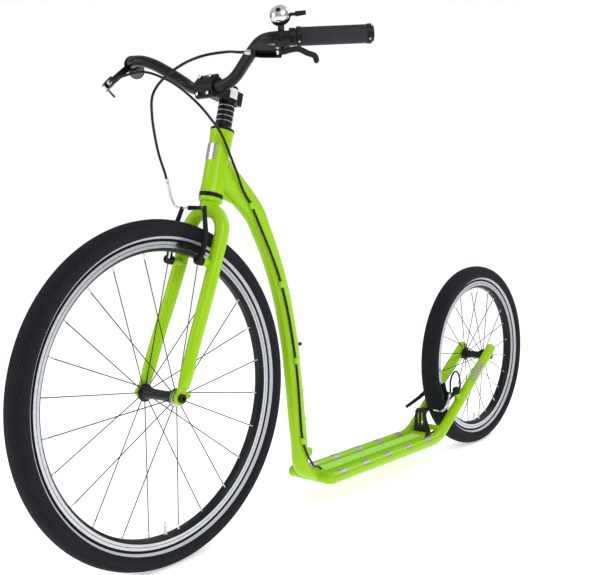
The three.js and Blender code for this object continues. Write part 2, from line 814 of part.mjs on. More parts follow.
function stemBody() {
  const low = spacerTop + seatGap;
  const collar = rod(vec(0, 0, low), vec(0, 0, stemTop), stemRadius, roundSides);
  const arm = block(
    vec(0, -stemArmWidth / 2, barHeight - stemArmHeight / 2),
    vec(splitX - seatGap, stemArmWidth / 2, barHeight + stemArmHeight / 2 - stemArmHeight * 0.1),
  );
  const half = vec(0, faceplateWidth / 2 - cutOverrun / 6, 0);
  const cradle = rod(barCentre.clone().sub(half), barCentre.clone().add(half), cradleRadius, roundSides);
  const ears = block(vec(-stemEarReach, -stemEarWidth / 2, low), vec(0, stemEarWidth / 2, stemTop));
  const slot = block(
    vec(-stemEarReach - cutOverrun, -stemSlotWidth / 2, low - cutOverrun),
    vec(0, stemSlotWidth / 2, stemTop + cutOverrun),
  );
  const bore = rod(vec(0, 0, low - cutOverrun), vec(0, 0, stemTop + cutOverrun), cupBore, roundSides);
  const front = block(
    vec(splitX - seatGap, -faceplateWidth, barHeight - faceplateHeight),
    vec(splitX + faceplateDepth * 2, faceplateWidth, barHeight + faceplateHeight),
  );
  const relief = rod(vec(0, 0, low - faceplateHeight), vec(0, 0, low), stemRadius, roundSides);
  return cut(joined(collar, arm, cradle, ears), slot, bore, barBore(), front, relief);
}

function stemFaceplate() {
  const [halfWidth, halfHeight] = [faceplateWidth / 2, faceplateHeight / 2];
  // Shares of the depth and of half the height, from the top round the curved front.
  const faceShares = [
    [0, -1], [0.35, -1], [0.72, -0.62], [1, -0.25], [1, 0.25], [0.72, 0.62], [0.35, 1], [0, 1],
  ];
  const outline = faceShares.map(
    ([deep, high]) => [splitX + faceplateDepth * deep, barHeight + halfHeight * high]
  );
  let plate = cut(plateXZ(outline, halfWidth * 2, 0), barBore());
  for (const side of [-1, 1]) {
    for (const rise of [-1, 1]) {
      const bolt = vec(splitX, side * faceplateBoltSpread, barHeight + rise * faceplateBoltRise);
      const head = bolt.clone().add(vec(faceplateDepth * 0.72 + faceplateBoltHead, 0, 0));
      plate = joined(plate, rod(bolt, head, faceplateBoltRadius, 10));
    }
  }
  return plate;
}

addPiece(steering, "stem_body", stemBody(), finishes.blackMetal);
addPiece(steering, "stem_faceplate", stemFaceplate(), finishes.blackMetal);
const capLow = vec(0, 0, stemTop + seatGap);
const capHigh = vec(0, 0, stemTop + seatGap + stemCapHeight);
addPiece(
  steering, "stem_cap", rod(capLow, capHigh, stemRadius - spacerWall, roundSides), finishes.blackMetal,
);

// Handlebar and grips

// Shares of the half width, of the sweep and of the rise; the sweep runs back from the bend's nose.
const barNoseReach = 43;
const barShares = [
  [0.108, 0, 0], [0.165, -0.03, 0.06], [0.22, 0.02, 0.165], [0.33, 0.38, 0.361], [0.43, 0.72, 0.514],
  [0.5, 0.93, 0.576], [0.555, 1, 0.595], [0.605, 0.93, 0.609],
];

function handlebarHalf(side) {
  const gripDirection = gripAxis();
  const gripStart = gripInner();
  const lead = gripStart.clone().addScaledVector(gripDirection, -(gripInnerY - leverClampY) * 2);
  const nose = barShares.map(([wide, forward, high]) => (
    vec(stemReach + barNoseReach * forward, barHalfWidth * wide, barHeight + barRise * high)
  ));
  const bend = smooth([...nose, lead], 11);
  const end = gripOuter().addScaledVector(gripDirection, -gripEndLength);
  const half = [...bend, gripStart, end];
  return half.map((p) => vec(p.x, side * p.y, p.z));
}

function gripOuter() {
  return vec(stemReach + barNoseReach - barSweep, barHalfWidth, barHeight + barRise);
}

function gripInner() {
  return vec(stemReach + barNoseReach - barSweep * 0.223, gripInnerY, barHeight + barRise * 0.684);
}

function gripAxis() {
  return gripOuter().sub(gripInner()).normalize();
}

function handlebarTube(extra) {
  const left = handlebarHalf(1);
  const right = handlebarHalf(-1).reverse();
  const path = [...right, vec(stemReach, 0, barHeight), ...left];
  const radii = path.map(
    (p) => (Math.abs(p.y) <= barClampHalfWidth + weldOverlap ? barClampRadius : barRadius) + extra
  );
  return tapered(path, radii, vec(0, 0, 1), barSides);
}
addPiece(steering, "handlebar", handlebarTube(0), finishes.blackMetal);
const barEnvelope = solid(handlebarTube(seatGap * 1.3));

function grip(side) {
  const bore = (barRadius + seatGap) / Math.cos(Math.PI / roundSides);
  const length = gripOuter().distanceTo(gripInner());
  const ringStart = length - gripRingLength;
  const profile = [
    [0, length - seatGap - gripEndLength], [bore, length - seatGap - gripEndLength], [bore, 0],
    [gripRingRadius, 0], [gripRingRadius, gripRingLength], [gripRadius, gripRingLength],
    [gripRadius, ringStart], [gripRingRadius, ringStart], [gripRingRadius, length],
    [gripEndRadius, length + gripEndLength / 2], [0, length + gripEndLength / 2],
  ];
  const shell = profile.map(([radius, along]) => (
    radius === 0 && along < length ? [0, length - gripEndLength + seatGap] : [radius, along]
  ));
  shell[1] = [bore, length - gripEndLength + seatGap];
  const from = gripInner();
  const to = gripOuter();
  return turned(shell, vec(from.x, side * from.y, from.z), vec(to.x, side * to.y, to.z), roundSides);
}
addPiece(steering, "grip_left", grip(1), finishes.rubber);
addPiece(steering, "grip_right", grip(-1), finishes.rubber);

// Brake levers. In a lever's own frame the pivot is the origin, X runs outwards along the body,
// Y points at the handlebar and Z stands square to the plane the lever swings in.
function leverMatrix(side) {
  const clamp = clampCentre(side);
  const rise = side * leverSideRise;
  const pivot = vec(clamp.x + leverReachX, side * leverPivotY, clamp.z - leverDropZ + rise);
  const body = vec(leverBodyLean, -side * leverBodyLength, leverBodyRise).normalize();
  const x = body.clone().negate();
  const toBar = clamp.clone().sub(pivot);
  const z = vec().crossVectors(x, toBar).normalize().multiplyScalar(side);
  const y = vec().crossVectors(z, x).multiplyScalar(side);
  return { matrix: new THREE.Matrix4().makeBasis(x, y, z).setPosition(pivot), clamp };
}

function clampCentre(side) {
  const centre = gripInner().addScaledVector(gripAxis(), -(gripInnerY - leverClampY) * 1.4);
  return vec(centre.x, side * centre.y, centre.z);
}

function leverBody(side) {
  const { matrix, clamp } = leverMatrix(side);
  const inverse = matrix.clone().invert();
  const seat = clamp.clone().applyMatrix4(inverse);
  // Shares of the body length and of its front and back depth.
  const outlineShares = [
    [-0.97, -0.35, 0], [-0.97, 0, 0.75], [-0.8, 0, 1], [0, 0, 1], [0.12, 0, 0.7], [0.145, -0.9, 0],
    [0, -1, 0], [-0.6, -1, 0],
  ];
  const outline = outlineShares.map(([along, front, back]) => (
    [leverBodyLength * along, leverBodyFront * front + leverBodyBack * back]
  ));
  const shell = plateXY(outline, leverBodyHeight);
  const slot = block(
    vec(-leverBodyLength * 0.8, -leverBodyFront - cutOverrun, -leverSlotHeight / 2),
    vec(leverBodyNose + cutOverrun, leverBodyBack - leverBackWall, leverSlotHeight / 2),
  );
  const halfHeight = leverBodyHeight / 2;
  const pin = rod(vec(0, 0, -halfHeight), vec(0, 0, halfHeight), leverPinRadius, 10);
  const armFoot = leverBodyBack - leverBackWall / 2;
  const armOutline = [
    [-leverArmWidth * 0.55, armFoot], [leverBodyNose * 0.9, armFoot],
    [seat.x + leverArmWidth * 0.4, seat.y], [seat.x - leverArmWidth * 0.4, seat.y],
  ];
  const arm = plateXY(armOutline, leverArmThickness);
  const body = joined(cut(shell, slot), pin, arm);
  const direction = gripAxis();
  direction.y *= side;
  const half = direction.clone().multiplyScalar(leverClampWidth / 2);
  const ring = solid(rod(clamp.clone().sub(half), clamp.clone().add(half), leverClampRadius, roundSides));
  const placed = meshGeometry(body).applyMatrix4(matrix);
  return cut(joined(placed, ring), barEnvelope);
}

// Shares of the blade length: along the body, towards the bar, and up out of the plane, from pivot to hook.
const bladeRouteShares = [
  [0, 0, 0], [0.15, 0.02, 0], [0.3, 0.045, 0.034], [0.54, 0.075, 0.054], [0.78, 0.12, -0.08],
  [0.96, 0.15, -0.17],
  [1, 0.16, -0.3], [1.01, 0.165, -0.38],
];

function leverBlade(side) {
  const { matrix } = leverMatrix(side);
  const route = bladeRouteShares.map(([along, across, up]) => (
    vec(leverBladeLength * along, leverBladeLength * across, leverBladeLength * up)
  ));
  const radii = route.map((_, i) => {
    const shrink = i >= route.length - 2 ? 0.6 : 1;
    return [(leverBladeWidth / 2) * shrink, (leverBladeThickness / 2) * shrink];
  });
  const blade = tapered(route, radii, vec(0, 0, 1), 8);
  const half = vec(0, 0, leverSlotHeight / 2 - seatGap);
  const hub = rod(half.clone().negate(), half, leverHubRadius, barSides);
  const bore = (leverPinRadius + seatGap) / Math.cos(Math.PI / 10);
  const through = vec(0, 0, leverBodyHeight);
  const drill = rod(through.clone().negate(), through, bore, 10);
  return meshGeometry(cut(joined(blade, hub), drill)).applyMatrix4(matrix);
}

function leverAdjuster(side) {
  const { matrix } = leverMatrix(side);
  const start = vec(-leverBodyLength * 0.97 - seatGap, -adjusterDrop, 0);
  const profile = [
    [0, 0], [adjusterRadius, 0], [adjusterRadius, adjusterLength * 0.7],
    [adjusterRadius * 0.75, adjusterLength],
    [0, adjusterLength],
  ];
  return turned(profile, start, start.clone().add(vec(-1, 0, 0)), barSides).applyMatrix4(matrix);
}

for (const label of ["left", "right"]) {
  addPiece(steering, `lever_clamp_${label}`, leverBody(sideOf[label]), finishes.blackMetal);
  addPiece(steering, `brake_lever_${label}`, leverBlade(sideOf[label]), finishes.blackMetal);
  addPiece(steering, `cable_adjuster_${label}`, leverAdjuster(sideOf[label]), finishes.silver);
}

// Brake arms, pads, noodles and boots, each in its brake's own frame

// For each brake: the spread of its arm ends and the height of its arms' bow.
const armTopSpread = { front: frontArmTopSpread, rear: rearArmTopSpread };
const armBow = { front: brakeArmBow, rear: 0 };

// Shares of the arm length, of its bow and of the way from the pivot spread to the top spread.
const armShares = [[0, 0, 0], [0.13, 0.5, 0], [0.3, 1, 0], [0.52, 0.95, 0.12], [0.78, 0.3, 0.6], [1, 0, 1]];

function brakeArm(label, pivotRadius, side, noodle) {
  const inward = brakePivotSpread - armTopSpread[label];
  const route = armShares.map(([up, bow, drawn]) => (
    vec(
      0, side * (brakePivotSpread + armBow[label] * bow - inward * drawn),
      pivotRadius + brakeArmLength * up,
    )
  ));
  const radii = armShares.map(
    ([up]) => [(brakeArmDepth / 2) * (1 - 0.25 * up), (brakeArmWidth / 2) * (1 - 0.35 * up)]
  );
  const arm = tapered(route, radii, vec(1, 0, 0), 8);
  const half = vec(brakeHubLength / 2, 0, 0);
  const pivot = vec(0, side * brakePivotSpread, pivotRadius);
  const hub = rod(pivot.clone().sub(half), pivot.clone().add(half), brakeHubRadius, barSides);
  const bore = (brakeStudRadius + seatGap) / Math.cos(Math.PI / barSides);
  const drill = rod(pivot.clone().sub(half).sub(half), pivot.clone().add(half).add(half), bore, barSides);
  const shape = cut(joined(arm, hub), drill);
  return noodle ? cut(shape, noodle) : shape;
}

function padHeightAt(wheelRadius) {
  return wheelRadius - tyreHeight + rimFlangeHeight - padCentreBelowRim;
}

function brakePad(label, wheelRadius, pivotRadius, side) {
  const height = padHeightAt(wheelRadius);
  const inner = rimWidth / 2 + padGap;
  const outer = inner + padThickness;
  const low = side > 0 ? inner : -outer;
  const pad = block(
    vec(-padLength / 2, low, height - padHeight / 2),
    vec(padLength / 2, low + padThickness, height + padHeight / 2),
  );
  const up = (height - pivotRadius) / brakeArmLength;
  const halfArm = (brakeArmWidth / 2) * (1 - 0.35 * up);
  const armInner = brakePivotSpread + armBow[label] * Math.min(up / 0.3, 1) - halfArm;
  const start = vec(0, side * (outer - weldOverlap), height);
  const profile = [
    [0, 0], [padWasherRadius, 0], [padWasherRadius, padWasherThickness + weldOverlap],
    [padPostRadius, padWasherThickness + weldOverlap],
    [padPostRadius, armInner - outer + weldOverlap - seatGap * 2],
    [0, armInner - outer + weldOverlap - seatGap * 2],
  ];
  return joined(pad, turned(profile, start, start.clone().add(vec(0, side, 0)), barSides));
}

// Hand-chosen routes of the two noodles: along the pivot axis, sideways, and outwards from the arm's end.
const frontNoodleRoute = [
  [0, 12, 0], [0, 24, 0], [0, 38, 0], [4, 46, 3], [14, 50, 14], [24, 50, 30], [34, 50, 46],
];
const rearNoodleRoute = [
  [0, 30, 0], [0, 40, 0], [0, 52, 0], [2, 59, -4], [8, 62, -14], [15, 61, -29], [22, 57, -46],
];
const noodleRoute = { front: frontNoodleRoute, rear: rearNoodleRoute };

function noodlePoints(label, pivotRadius, side) {
  const level = pivotRadius + brakeArmLength - noodleRadius;
  return noodleRoute[label].map(([along, sideways, out]) => vec(along, sideways * side, level + out));
}

function addBrake(parent, label, matrix, wheelRadius, pivotRadius, noodleSide, flip) {
  const points = noodlePoints(label, pivotRadius, noodleSide);
  const noodle = cable(points, noodleRadius, 11);
  const channel = cable(points, noodleRadius + seatGap * 1.5, 11);
  for (const side of [1, -1]) {
    const name = side * flip > 0 ? "left" : "right";
    const arm = brakeArm(label, pivotRadius, side, side === noodleSide ? channel : null);
    addPiece(
      parent, `${label}_brake_arm_${name}`, meshGeometry(arm).applyMatrix4(matrix), finishes.blackMetal,
    );
    const pad = meshGeometry(brakePad(label, wheelRadius, pivotRadius, side)).applyMatrix4(matrix);
    addPiece(parent, `${label}_brake_pad_${name}`, pad, finishes.rubber);
  }
  addPiece(parent, `${label}_noodle`, noodle.applyMatrix4(matrix), finishes.silver);
  const level = points[0].z;
  const topHalfWidth = (brakeArmWidth / 2) * 0.65;
  const from = vec(0, points[0].y - noodleSide * seatGap, level);
  const to = vec(0, -noodleSide * (armTopSpread[label] - topHalfWidth - seatGap * 4), level);
  const span = from.distanceTo(to);
  const profile = [
    [0, 0], [bootRadius, 0], [bootRadius * 0.8, bootLength], [wireRadius, bootLength], [wireRadius, span],
    [0, span],
  ];
  const boot = turned(profile, from, to, cableSides).applyMatrix4(matrix);
  addPiece(parent, `${label}_cable_boot`, boot, finishes.rubber);
}
addBrake(steering, "front", frontBrakeMatrix, frontWheelRadius, frontPivotRadius, -1, 1);
addBrake(bike, "rear", rearBrakeMatrix, rearWheelRadius, rearPivotRadius, -1, -1);

// Deck: crossbar, rails with their stays, beam, bridge and heel guard

function crossbar(extra) {
  const radius = railFrontRadius + extra;
  const mitre = radius / Math.cos(Math.PI / 8);
  const corner = vec(crossbarX - crossbarCornerCut, railSpread, deckHeight);
  const front = vec(crossbarX, railSpread - crossbarCornerCut, deckHeight);
  const stub = vec(corner.x - crossbarStub, railSpread, deckHeight);
  const left = [front, corner, stub];
  const path = [...mirrored(left).reverse(), ...left];
  const radii = path.map((_, i) => (i === 0 || i === path.length - 1 ? radius : [radius, mitre]));
  return tapered(path, radii, vec(0, 0, 1), tubeSides);
}
// The rounded end that shows beside the tube's foot on the right is a plain boss.
const bossStart = vec(crossbarX, -railSpread, deckHeight);
const bossEnd = vec(crossbarX, -crossbarBossReach, deckHeight);
const crossbarBoss = rod(bossStart, bossEnd, crossbarBossRadius, barSides);
addPiece(bike, "front_crossbar", joined(crossbar(0), crossbarBoss), finishes.frame);

const railStartX = crossbarX - crossbarCornerCut - crossbarStub - seatGap;
const stayDirection = vec(-Math.cos(radians(stayAngle)), 0, Math.sin(radians(stayAngle)));
const stayBendSteps = 5;

// A rail runs straight back, bends upwards and ends as a domed stay above the rear axle.
function railPath() {
  const tangent = stayBendRadius * Math.tan(radians(stayAngle / 2));
  const start = vec(railStartX, railSpread, deckHeight);
  const corner = vec(railCornerX, railSpread, deckHeight);
  const bendStart = vec(corner.x + tangent, railSpread, deckHeight);
  const centre = vec(bendStart.x, railSpread, deckHeight + stayBendRadius);
  const bend = [];
  for (let k = 0; k <= stayBendSteps; k += 1) {
    const angle = radians((stayAngle * k) / stayBendSteps);
    bend.push(
      centre.clone().add(vec(-stayBendRadius * Math.sin(angle), 0, -stayBendRadius * Math.cos(angle))),
    );
  }
  // Shares of the stay radius that the domed end stops short of the full length, with its narrowing.
  const dome = [[0.75, 1], [0.2, 0.75], [0, 0.35]];
  const stay = dome.map(
    ([short]) => corner.clone().addScaledVector(stayDirection, stayLength - stayRadius * short)
  );
  return { points: [start, ...bend, ...stay], bendCount: bend.length, dome };
}

function rail(extra) {
  const { points, bendCount, dome } = railPath();
  const radii = points.map((_, i) => {
    if (i <= 1) return railFrontRadius + extra;
    const wider = (railFrontRadius - railRearRadius) * (1 - i / bendCount);
    if (i <= bendCount) return railRearRadius + wider + extra;
    return stayRadius * dome[i - bendCount - 1][1] + extra;
  });
  return tapered(points, radii, vec(0, 1, 0), tubeSides);
}

// The stay carries the dropout: a round plate with the axle hole, cleared for the hub and the bolt head.
function railWithDropout() {
  const place = (y) => vec(rearAxle.x, y, rearAxle.z);
  const plate = rod(place(rearDropoutInner), place(rearDropoutOuter), rearDropoutRadius, roundSides);
  const hole = rod(place(0), place(railSpread * 2), (axleRadius + seatGap) / Math.cos(Math.PI / 12), 12);
  const notch = rod(place(rearDropoutOuter), place(railSpread * 2), stayNotchRadius, roundSides);
  const relief = rod(place(0), place(rearDropoutInner), stayReliefRadius, roundSides);
  const stud = brakeStud(rearPivotRadius, -1, rearBossDepth).applyMatrix4(rearBrakeMatrix);
  return joined(cut(joined(rail(0), plate), hole, notch, relief), stud);
}

const acrossFrame = new THREE.Matrix4().makeScale(1, -1, 1);
const leftRail = railWithDropout();
addPiece(bike, "deck_rail_left", leftRail, finishes.frame);
addPiece(bike, "deck_rail_right", meshGeometry(leftRail).applyMatrix4(acrossFrame), finishes.frame);

const beamTop = deckHeight + beamTopAbove;
const beamFront = crossbarX - railFrontRadius - seatGap;
const beamBack = beamFront - beamLength;
const beamTail = bridgeX + bridgeRadius + seatGap;

const rampTop = beamTop + beamRampRise;

function deckBeam() {
  const low = beamTop - beamDepth;
  const tailFoot = beamBack - beamPlate * 2.5;
  return plateXZ([
    [beamFront, low], [beamFront, beamTop], [beamBack, beamTop], [beamTail, rampTop],
    [beamTail, rampTop - beamPlate], [tailFoot, beamTop - beamPlate * 0.8], [beamBack, low],
  ], beamWidth, 0);
}

function bridge() {
  const reach = vec(0, railSpread, 0);
  const centre = vec(bridgeX, 0, bridgeHeight);
  const bar = rod(centre.clone().sub(reach), centre.clone().add(reach), bridgeRadius, barSides);
  const grown = rail(seatGap);
  return cut(bar, grown, grown.clone().applyMatrix4(acrossFrame));
}
addPiece(bike, "rear_bridge", bridge(), finishes.frame);

// The heel guard is a tapering channel over the beam's ramp, open to the rear, with two slots in its face.
function guardShell(inset, front) {
  const top = rampTop + guardHeight - inset;
  const low = beamTop - guardFootBelow;
  const half = guardTopWidth / 2 - inset;
  const foot = guardFootWidth / 2 - inset;
  const right = [vec(0, foot, low), vec(0, half, top - guardCorner), vec(0, half - guardCorner, top)];
  const outline = [...right, ...mirrored(right).reverse()].map((p) => [p.y, p.z]);
  const shape = new THREE.Shape(outline.map(([y, z]) => new THREE.Vector2(y, z)));
  const depth = front - guardFaceX + guardDepth + inset * 2;
  const geometry = new THREE.ExtrudeGeometry(shape, { depth, bevelEnabled: false });
  return geometry.rotateX(Math.PI / 2).rotateZ(Math.PI / 2).translate(front - depth, 0, 0);
}

function heelGuard() {
  const top = rampTop + guardHeight;
  const slotTop = top - guardCorner * 2;
  let guard = cut(guardShell(0, guardFaceX), guardShell(guardWall, guardFaceX - guardWall));
  for (const side of [1, -1]) {
    const centre = side * guardSlotWidth * 0.95;
    const slot = block(
      vec(guardFaceX - guardWall * 2, centre - guardSlotWidth / 2, slotTop - guardSlotLength),
      vec(guardFaceX + cutOverrun, centre + guardSlotWidth / 2, slotTop),
    );
    const screw = vec(guardFaceX - guardWall / 2, centre, beamTop + guardWall * 4);
    const head = vec(guardFaceX + guardScrewHeight, screw.y, screw.z);
    guard = joined(cut(guard, slot), rod(screw, head, guardScrewRadius, 10));
  }
  const underRamp = plateXZ([
    [beamBack, 0], [beamBack, beamTop + seatGap], [beamTail, rampTop + seatGap], [beamTail, 0],
  ], beamWidth + seatGap * 2, 0);
  const behind = guardFaceX - guardDepth * 2;
  const taper = plateXZ([
    [guardFaceX - guardTopDepth, top + guardCorner], [guardFaceX - guardTopDepth, rampTop + guardHeight / 2],
    [guardFaceX - guardDepth, beamTop], [behind, beamTop], [behind, top + guardCorner],
  ], guardFootWidth * 2, 0);
  return cut(guard, underRamp, taper);
}
addPiece(bike, "heel_guard", heelGuard(), finishes.plastic);

// Cables. The points of each are hand-chosen along the route seen in the photo.

const fromSteering = (p) => p.clone().applyAxisAngle(vec(0, 1, 0), -headTilt).add(steerOrigin);

// The start of a housing: a point just off the adjuster and one further along its axis.
function housingStart(side) {
  const { matrix } = leverMatrix(side);
  const start = -leverBodyLength * 0.97 - seatGap - adjusterLength - seatGap;
  return [start, start - adjusterLength].map((along) => vec(along, -adjusterDrop, 0).applyMatrix4(matrix));
}

// The end of a housing: a point along the noodle's axis and one just off the noodle.
function housingEnd(label, pivotRadius, matrix) {
  const points = noodlePoints(label, pivotRadius, -1).map((p) => p.applyMatrix4(matrix));
  const [before, tip] = points.slice(-2);
  const ahead = tip.clone().sub(before).normalize();
  return [tip.clone().addScaledVector(ahead, adjusterLength), tip.clone().addScaledVector(ahead, seatGap)];
}

const frontCableRoute = [
  vec(147, 132, 216), vec(164, 92, 207), vec(188, 72, 185), vec(205, 45, 153), vec(196, 14, 130),
  vec(174, -5, 102), vec(124, -30, 51),
];
const frontCablePoints = [
  ...housingStart(1), ...frontCableRoute, ...housingEnd("front", frontPivotRadius, frontBrakeMatrix),
];
addPiece(steering, "front_cable", cable(frontCablePoints, cableRadius, 26), finishes.cable);

const barRunRoute = [
  vec(440, -130, 936), vec(422, -85, 920), vec(416, -50, 900), vec(408, -5, 863), vec(397, 18, 832),
  vec(389, 25, 817),
  vec(379, 28, 798), vec(366, 30, 770), vec(346, 28, 736), vec(326, 24, 703),
];
const guidePlaces = [
  vec(299, 21, 673), vec(212.5, 19.4, 508.6), vec(171.5, 19.6, 341.5), vec(154.2, 20, 162.6),
];
const firstGuideAlong = guidePlaces[1].clone().sub(barRunRoute[9]).normalize();
const inFirstGuide = (along) => guidePlaces[0].clone().addScaledVector(firstGuideAlong, along);
const barRunEnd = [inFirstGuide(-guideLength), inFirstGuide(-seatGap)];
const frameRunStart = [inFirstGuide(seatGap), inFirstGuide(guideLength)];
const barRunPoints = [...housingStart(-1).map(fromSteering), ...barRunRoute, ...barRunEnd];
const frameRunTail = [
  vec(150, 23, 144), vec(143, 24.5, 127), vec(129, 22, 111), vec(113, 14, 98), vec(94, 6, 90),
  vec(80, 1, 85),
  vec(70, 0, 79), vec(61, 0, 72),
];
const frameRunPoints = [...frameRunStart, ...guidePlaces.slice(1), ...frameRunTail];
const loopRoute = [
  vec(-420, 44, 205), vec(-431, 42, 218), vec(-443, 41, 226), vec(-456, 40, 226), vec(-470, 38, 218),
  vec(-483, 35, 198), vec(-490, 31, 177), vec(-488, 27.6, 160), vec(-476, 27.3, 140), vec(-452, 27.2, 117),
  vec(-424, 25, 97), vec(-395, 17, 79), vec(-365, 8, 69), vec(-345, 3, 66), vec(-326, 1, 65),
];
const loopPoints = [...housingEnd("rear", rearPivotRadius, rearBrakeMatrix).reverse(), ...loopRoute];
const frameRunSteps = 34;
const loopSteps = 26;
addPiece(bike, "rear_cable_bar_run", cable(barRunPoints, cableRadius, 24), finishes.cable);
addPiece(bike, "rear_cable_frame_run", cable(frameRunPoints, cableRadius, frameRunSteps), finishes.cable);
addPiece(bike, "rear_cable_loop", cable(loopPoints, cableRadius, loopSteps), finishes.cable);

const frameRunChannel = cable(frameRunPoints, cableRadius + seatGap * 1.5, frameRunSteps);
const loopChannel = cable(loopPoints, cableRadius + seatGap * 1.5, loopSteps);
addPiece(bike, "deck_beam", cut(deckBeam(), frameRunChannel, loopChannel), finishes.frame);

// Main tube, with its cable guides, and the gusset under the head tube

// Shares of the reach and of the drop, and which of the tube's three sections each ring stands between.
const mainTubeShares = [
  [1, 1], [0.651, 0.869], [0.579, 0.816], [0.514, 0.765], [0.451, 0.706], [0.41, 0.662], [0.356, 0.593],
  [0.309, 0.506], [0.277, 0.437], [0.259, 0.371], [0.237, 0.297], [0.216, 0.203], [0.194, 0.1235],
  [0.19, 0.078], [0.176, 0.05], [0.135, 0.03], [0.065, 0.0125], [0, 0],
];
const tubeTopShares = [1, 0.42, 0.2, 0.05];
const tubeFootShares = [1, 1, 0.85, 0.7, 0.5, 0.25];

function mainTube(extra) {
  const path = mainTubeShares.map(([forward, high]) => (
    vec(crossbarX + mainTubeReach * forward, 0, deckHeight + mainTubeDrop * high)
  ));
  const radii = path.map((_, i) => {
    const top = tubeTopShares[i] ?? 0;
    const foot = tubeFootShares[path.length - 1 - i] ?? 0;
    const wide = mainTubeWidth + (mainTubeFootWidth - mainTubeWidth) * foot;
    const topChange = (mainTubeTopDepth - mainTubeDepth) * top;
    const footChange = (mainTubeFootDepth - mainTubeDepth) * foot;
    const deep = mainTubeDepth + topChange + footChange;
    return [wide / 2 + extra, deep / 2 + extra];
  });
  return tapered(path, radii, vec(0, 1, 0), tubeSides);
}

const headTubeEnvelope = solid(inFrame(headTube(seatGap, 0)));
const frameRunCurve = new THREE.CatmullRomCurve3(frameRunPoints, false, "centripetal");
const guideSpots = [];
for (const place of guidePlaces) {
  const samples = frameRunCurve.getSpacedPoints(400);
  const distances = samples.map((p) => p.distanceTo(place));
  const nearest = Math.max(1, Math.min(399, distances.indexOf(Math.min(...distances))));
  guideSpots.push({ place, along: samples[nearest + 1].clone().sub(samples[nearest - 1]).normalize() });
}

function alongGuide({ place, along }, length, radius, sides) {
  const half = along.clone().multiplyScalar(length / 2);
  return rod(place.clone().sub(half), place.clone().add(half), radius, sides);
}

// Small parts on the back of the tube: two threaded bosses, a peg and the stand lug.
const bossPlaces = [vec(128, 0, 268), vec(121, 0, 202)];
const pegPlace = vec(132, 0, 371);
const lugPlace = vec(110, 0, 126);
const lugShares = [
  [1.5, -0.6], [0.2, -0.55], [-0.4, -0.4], [-0.5, 0.1], [-0.25, 0.42], [0.3, 0.6], [1.5, 0.5],
];

function mainTubePiece() {
  const inwards = vec(mainTubeDepth * 0.7, 0, 0);
  const bosses = bossPlaces.map((p) => rod(p, p.clone().add(inwards), bossRadius, 10));
  const peg = rod(pegPlace, pegPlace.clone().add(inwards), pegRadius, 10);
  const lugOutline = lugShares.map(
    ([wide, high]) => [lugPlace.x + lugSize * wide, lugPlace.z + lugSize * high]
  );
  const lug = plateXZ(lugOutline, lugThickness, 0, [[lugPlace.x, lugPlace.z, lugHoleRadius]]);
  const guides = guideSpots.map((spot) => alongGuide(spot, guideLength, guideWidth / 2, 10));
  const bores = guideSpots.map(
    (spot) => alongGuide(spot, guideLength + cutOverrun, guideBoreRadius, cableSides)
  );
  const whole = joined(mainTube(0), ...bosses, peg, lug, ...guides);
  return cut(whole, headTubeEnvelope, crossbar(seatGap), ...bores);
}
addPiece(bike, "main_tube", mainTubePiece(), finishes.frame);

// Shares of the gusset's reach behind the steering axis and of its drop below the lower headset ring.
const gussetShares = [
  [-0.149, 0.154], [-0.237, -0.077], [-0.526, -0.308], [-0.851, -0.712], [-1, -1], [-0.895, -0.231],
  [-0.368, 0.923],
];
const gussetHoleShares = [[-0.351, 0.11], [-0.412, 0.398], [-0.553, -0.121]];

function gusset() {
  const at = ([back, high]) => [steerOrigin.x + gussetReach * back, steerOrigin.z + gussetDrop * high];
  const holes = gussetHoleShares.map((share) => [...at(share), gussetHoleRadius]);
  const plate = plateXZ(gussetShares.map(at), gussetThickness, 0, holes);
  return cut(plate, mainTube(seatGap), headTubeEnvelope);
}
addPiece(bike, "head_gusset", gusset(), finishes.frame);

// Bell: a clamp on the bar with a base, a sprung thumb lever and a dome over both

function barPlace(sideways) {
  const path = handlebarHalf(1);
  const next = path.findIndex((p) => p.y > sideways);
  const [a, b] = [path[next - 1], path[next]];
  const centre = a.clone().lerp(b, (sideways - a.y) / (b.y - a.y));
  return { centre, along: b.clone().sub(a).normalize() };
}

const bellClamp = barPlace(bellClampY);
const bellForward = vec(Math.cos(radians(bellTurn)), Math.sin(radians(bellTurn)), 0);
const bellAxis = vec(0, 0, Math.cos(radians(bellTilt))).addScaledVector(
  bellForward, Math.sin(radians(bellTilt)),
);
const bellLevel = vec(-bellForward.y, bellForward.x, 0);
const bellAcross = bellLevel.applyAxisAngle(bellAxis, radians(bellTriggerTurn));
const bellCentre = bellClamp.centre.clone().add(vec(bellReachX, bellReachY, bellHeight));
const bellPlace = (along) => bellCentre.clone().addScaledVector(bellAxis, along);
const bellPostTop = (bellDomeHeight - bellWall) * 0.87 - seatGap;
const triggerLow = seatGap - bellBaseHeight + bellBaseFloor;

function bellBase() {
  const floor = rod(
    bellPlace(-bellBaseHeight), bellPlace(bellBaseFloor - bellBaseHeight), bellRadius, roundSides,
  );
  const post = rod(bellPlace(-bellBaseHeight), bellPlace(bellPostTop), bellNeckRadius, barSides);
  const neckRod = rod(
    bellClamp.centre, bellPlace(-bellBaseHeight + bellBaseFloor / 2), bellNeckRadius, barSides,
  );
  const neck = cut(
    neckRod, rod(bellPlace(bellBaseFloor - bellBaseHeight), bellPlace(bellDomeHeight), bellRadius * 2, 12),
  );
  const half = bellClamp.along.clone().multiplyScalar(bellClampWidth / 2);
  const ring = rod(
    bellClamp.centre.clone().sub(half), bellClamp.centre.clone().add(half), bellClampRadius, roundSides,
  );
  return cut(joined(floor, post, neck, ring), barEnvelope);
}

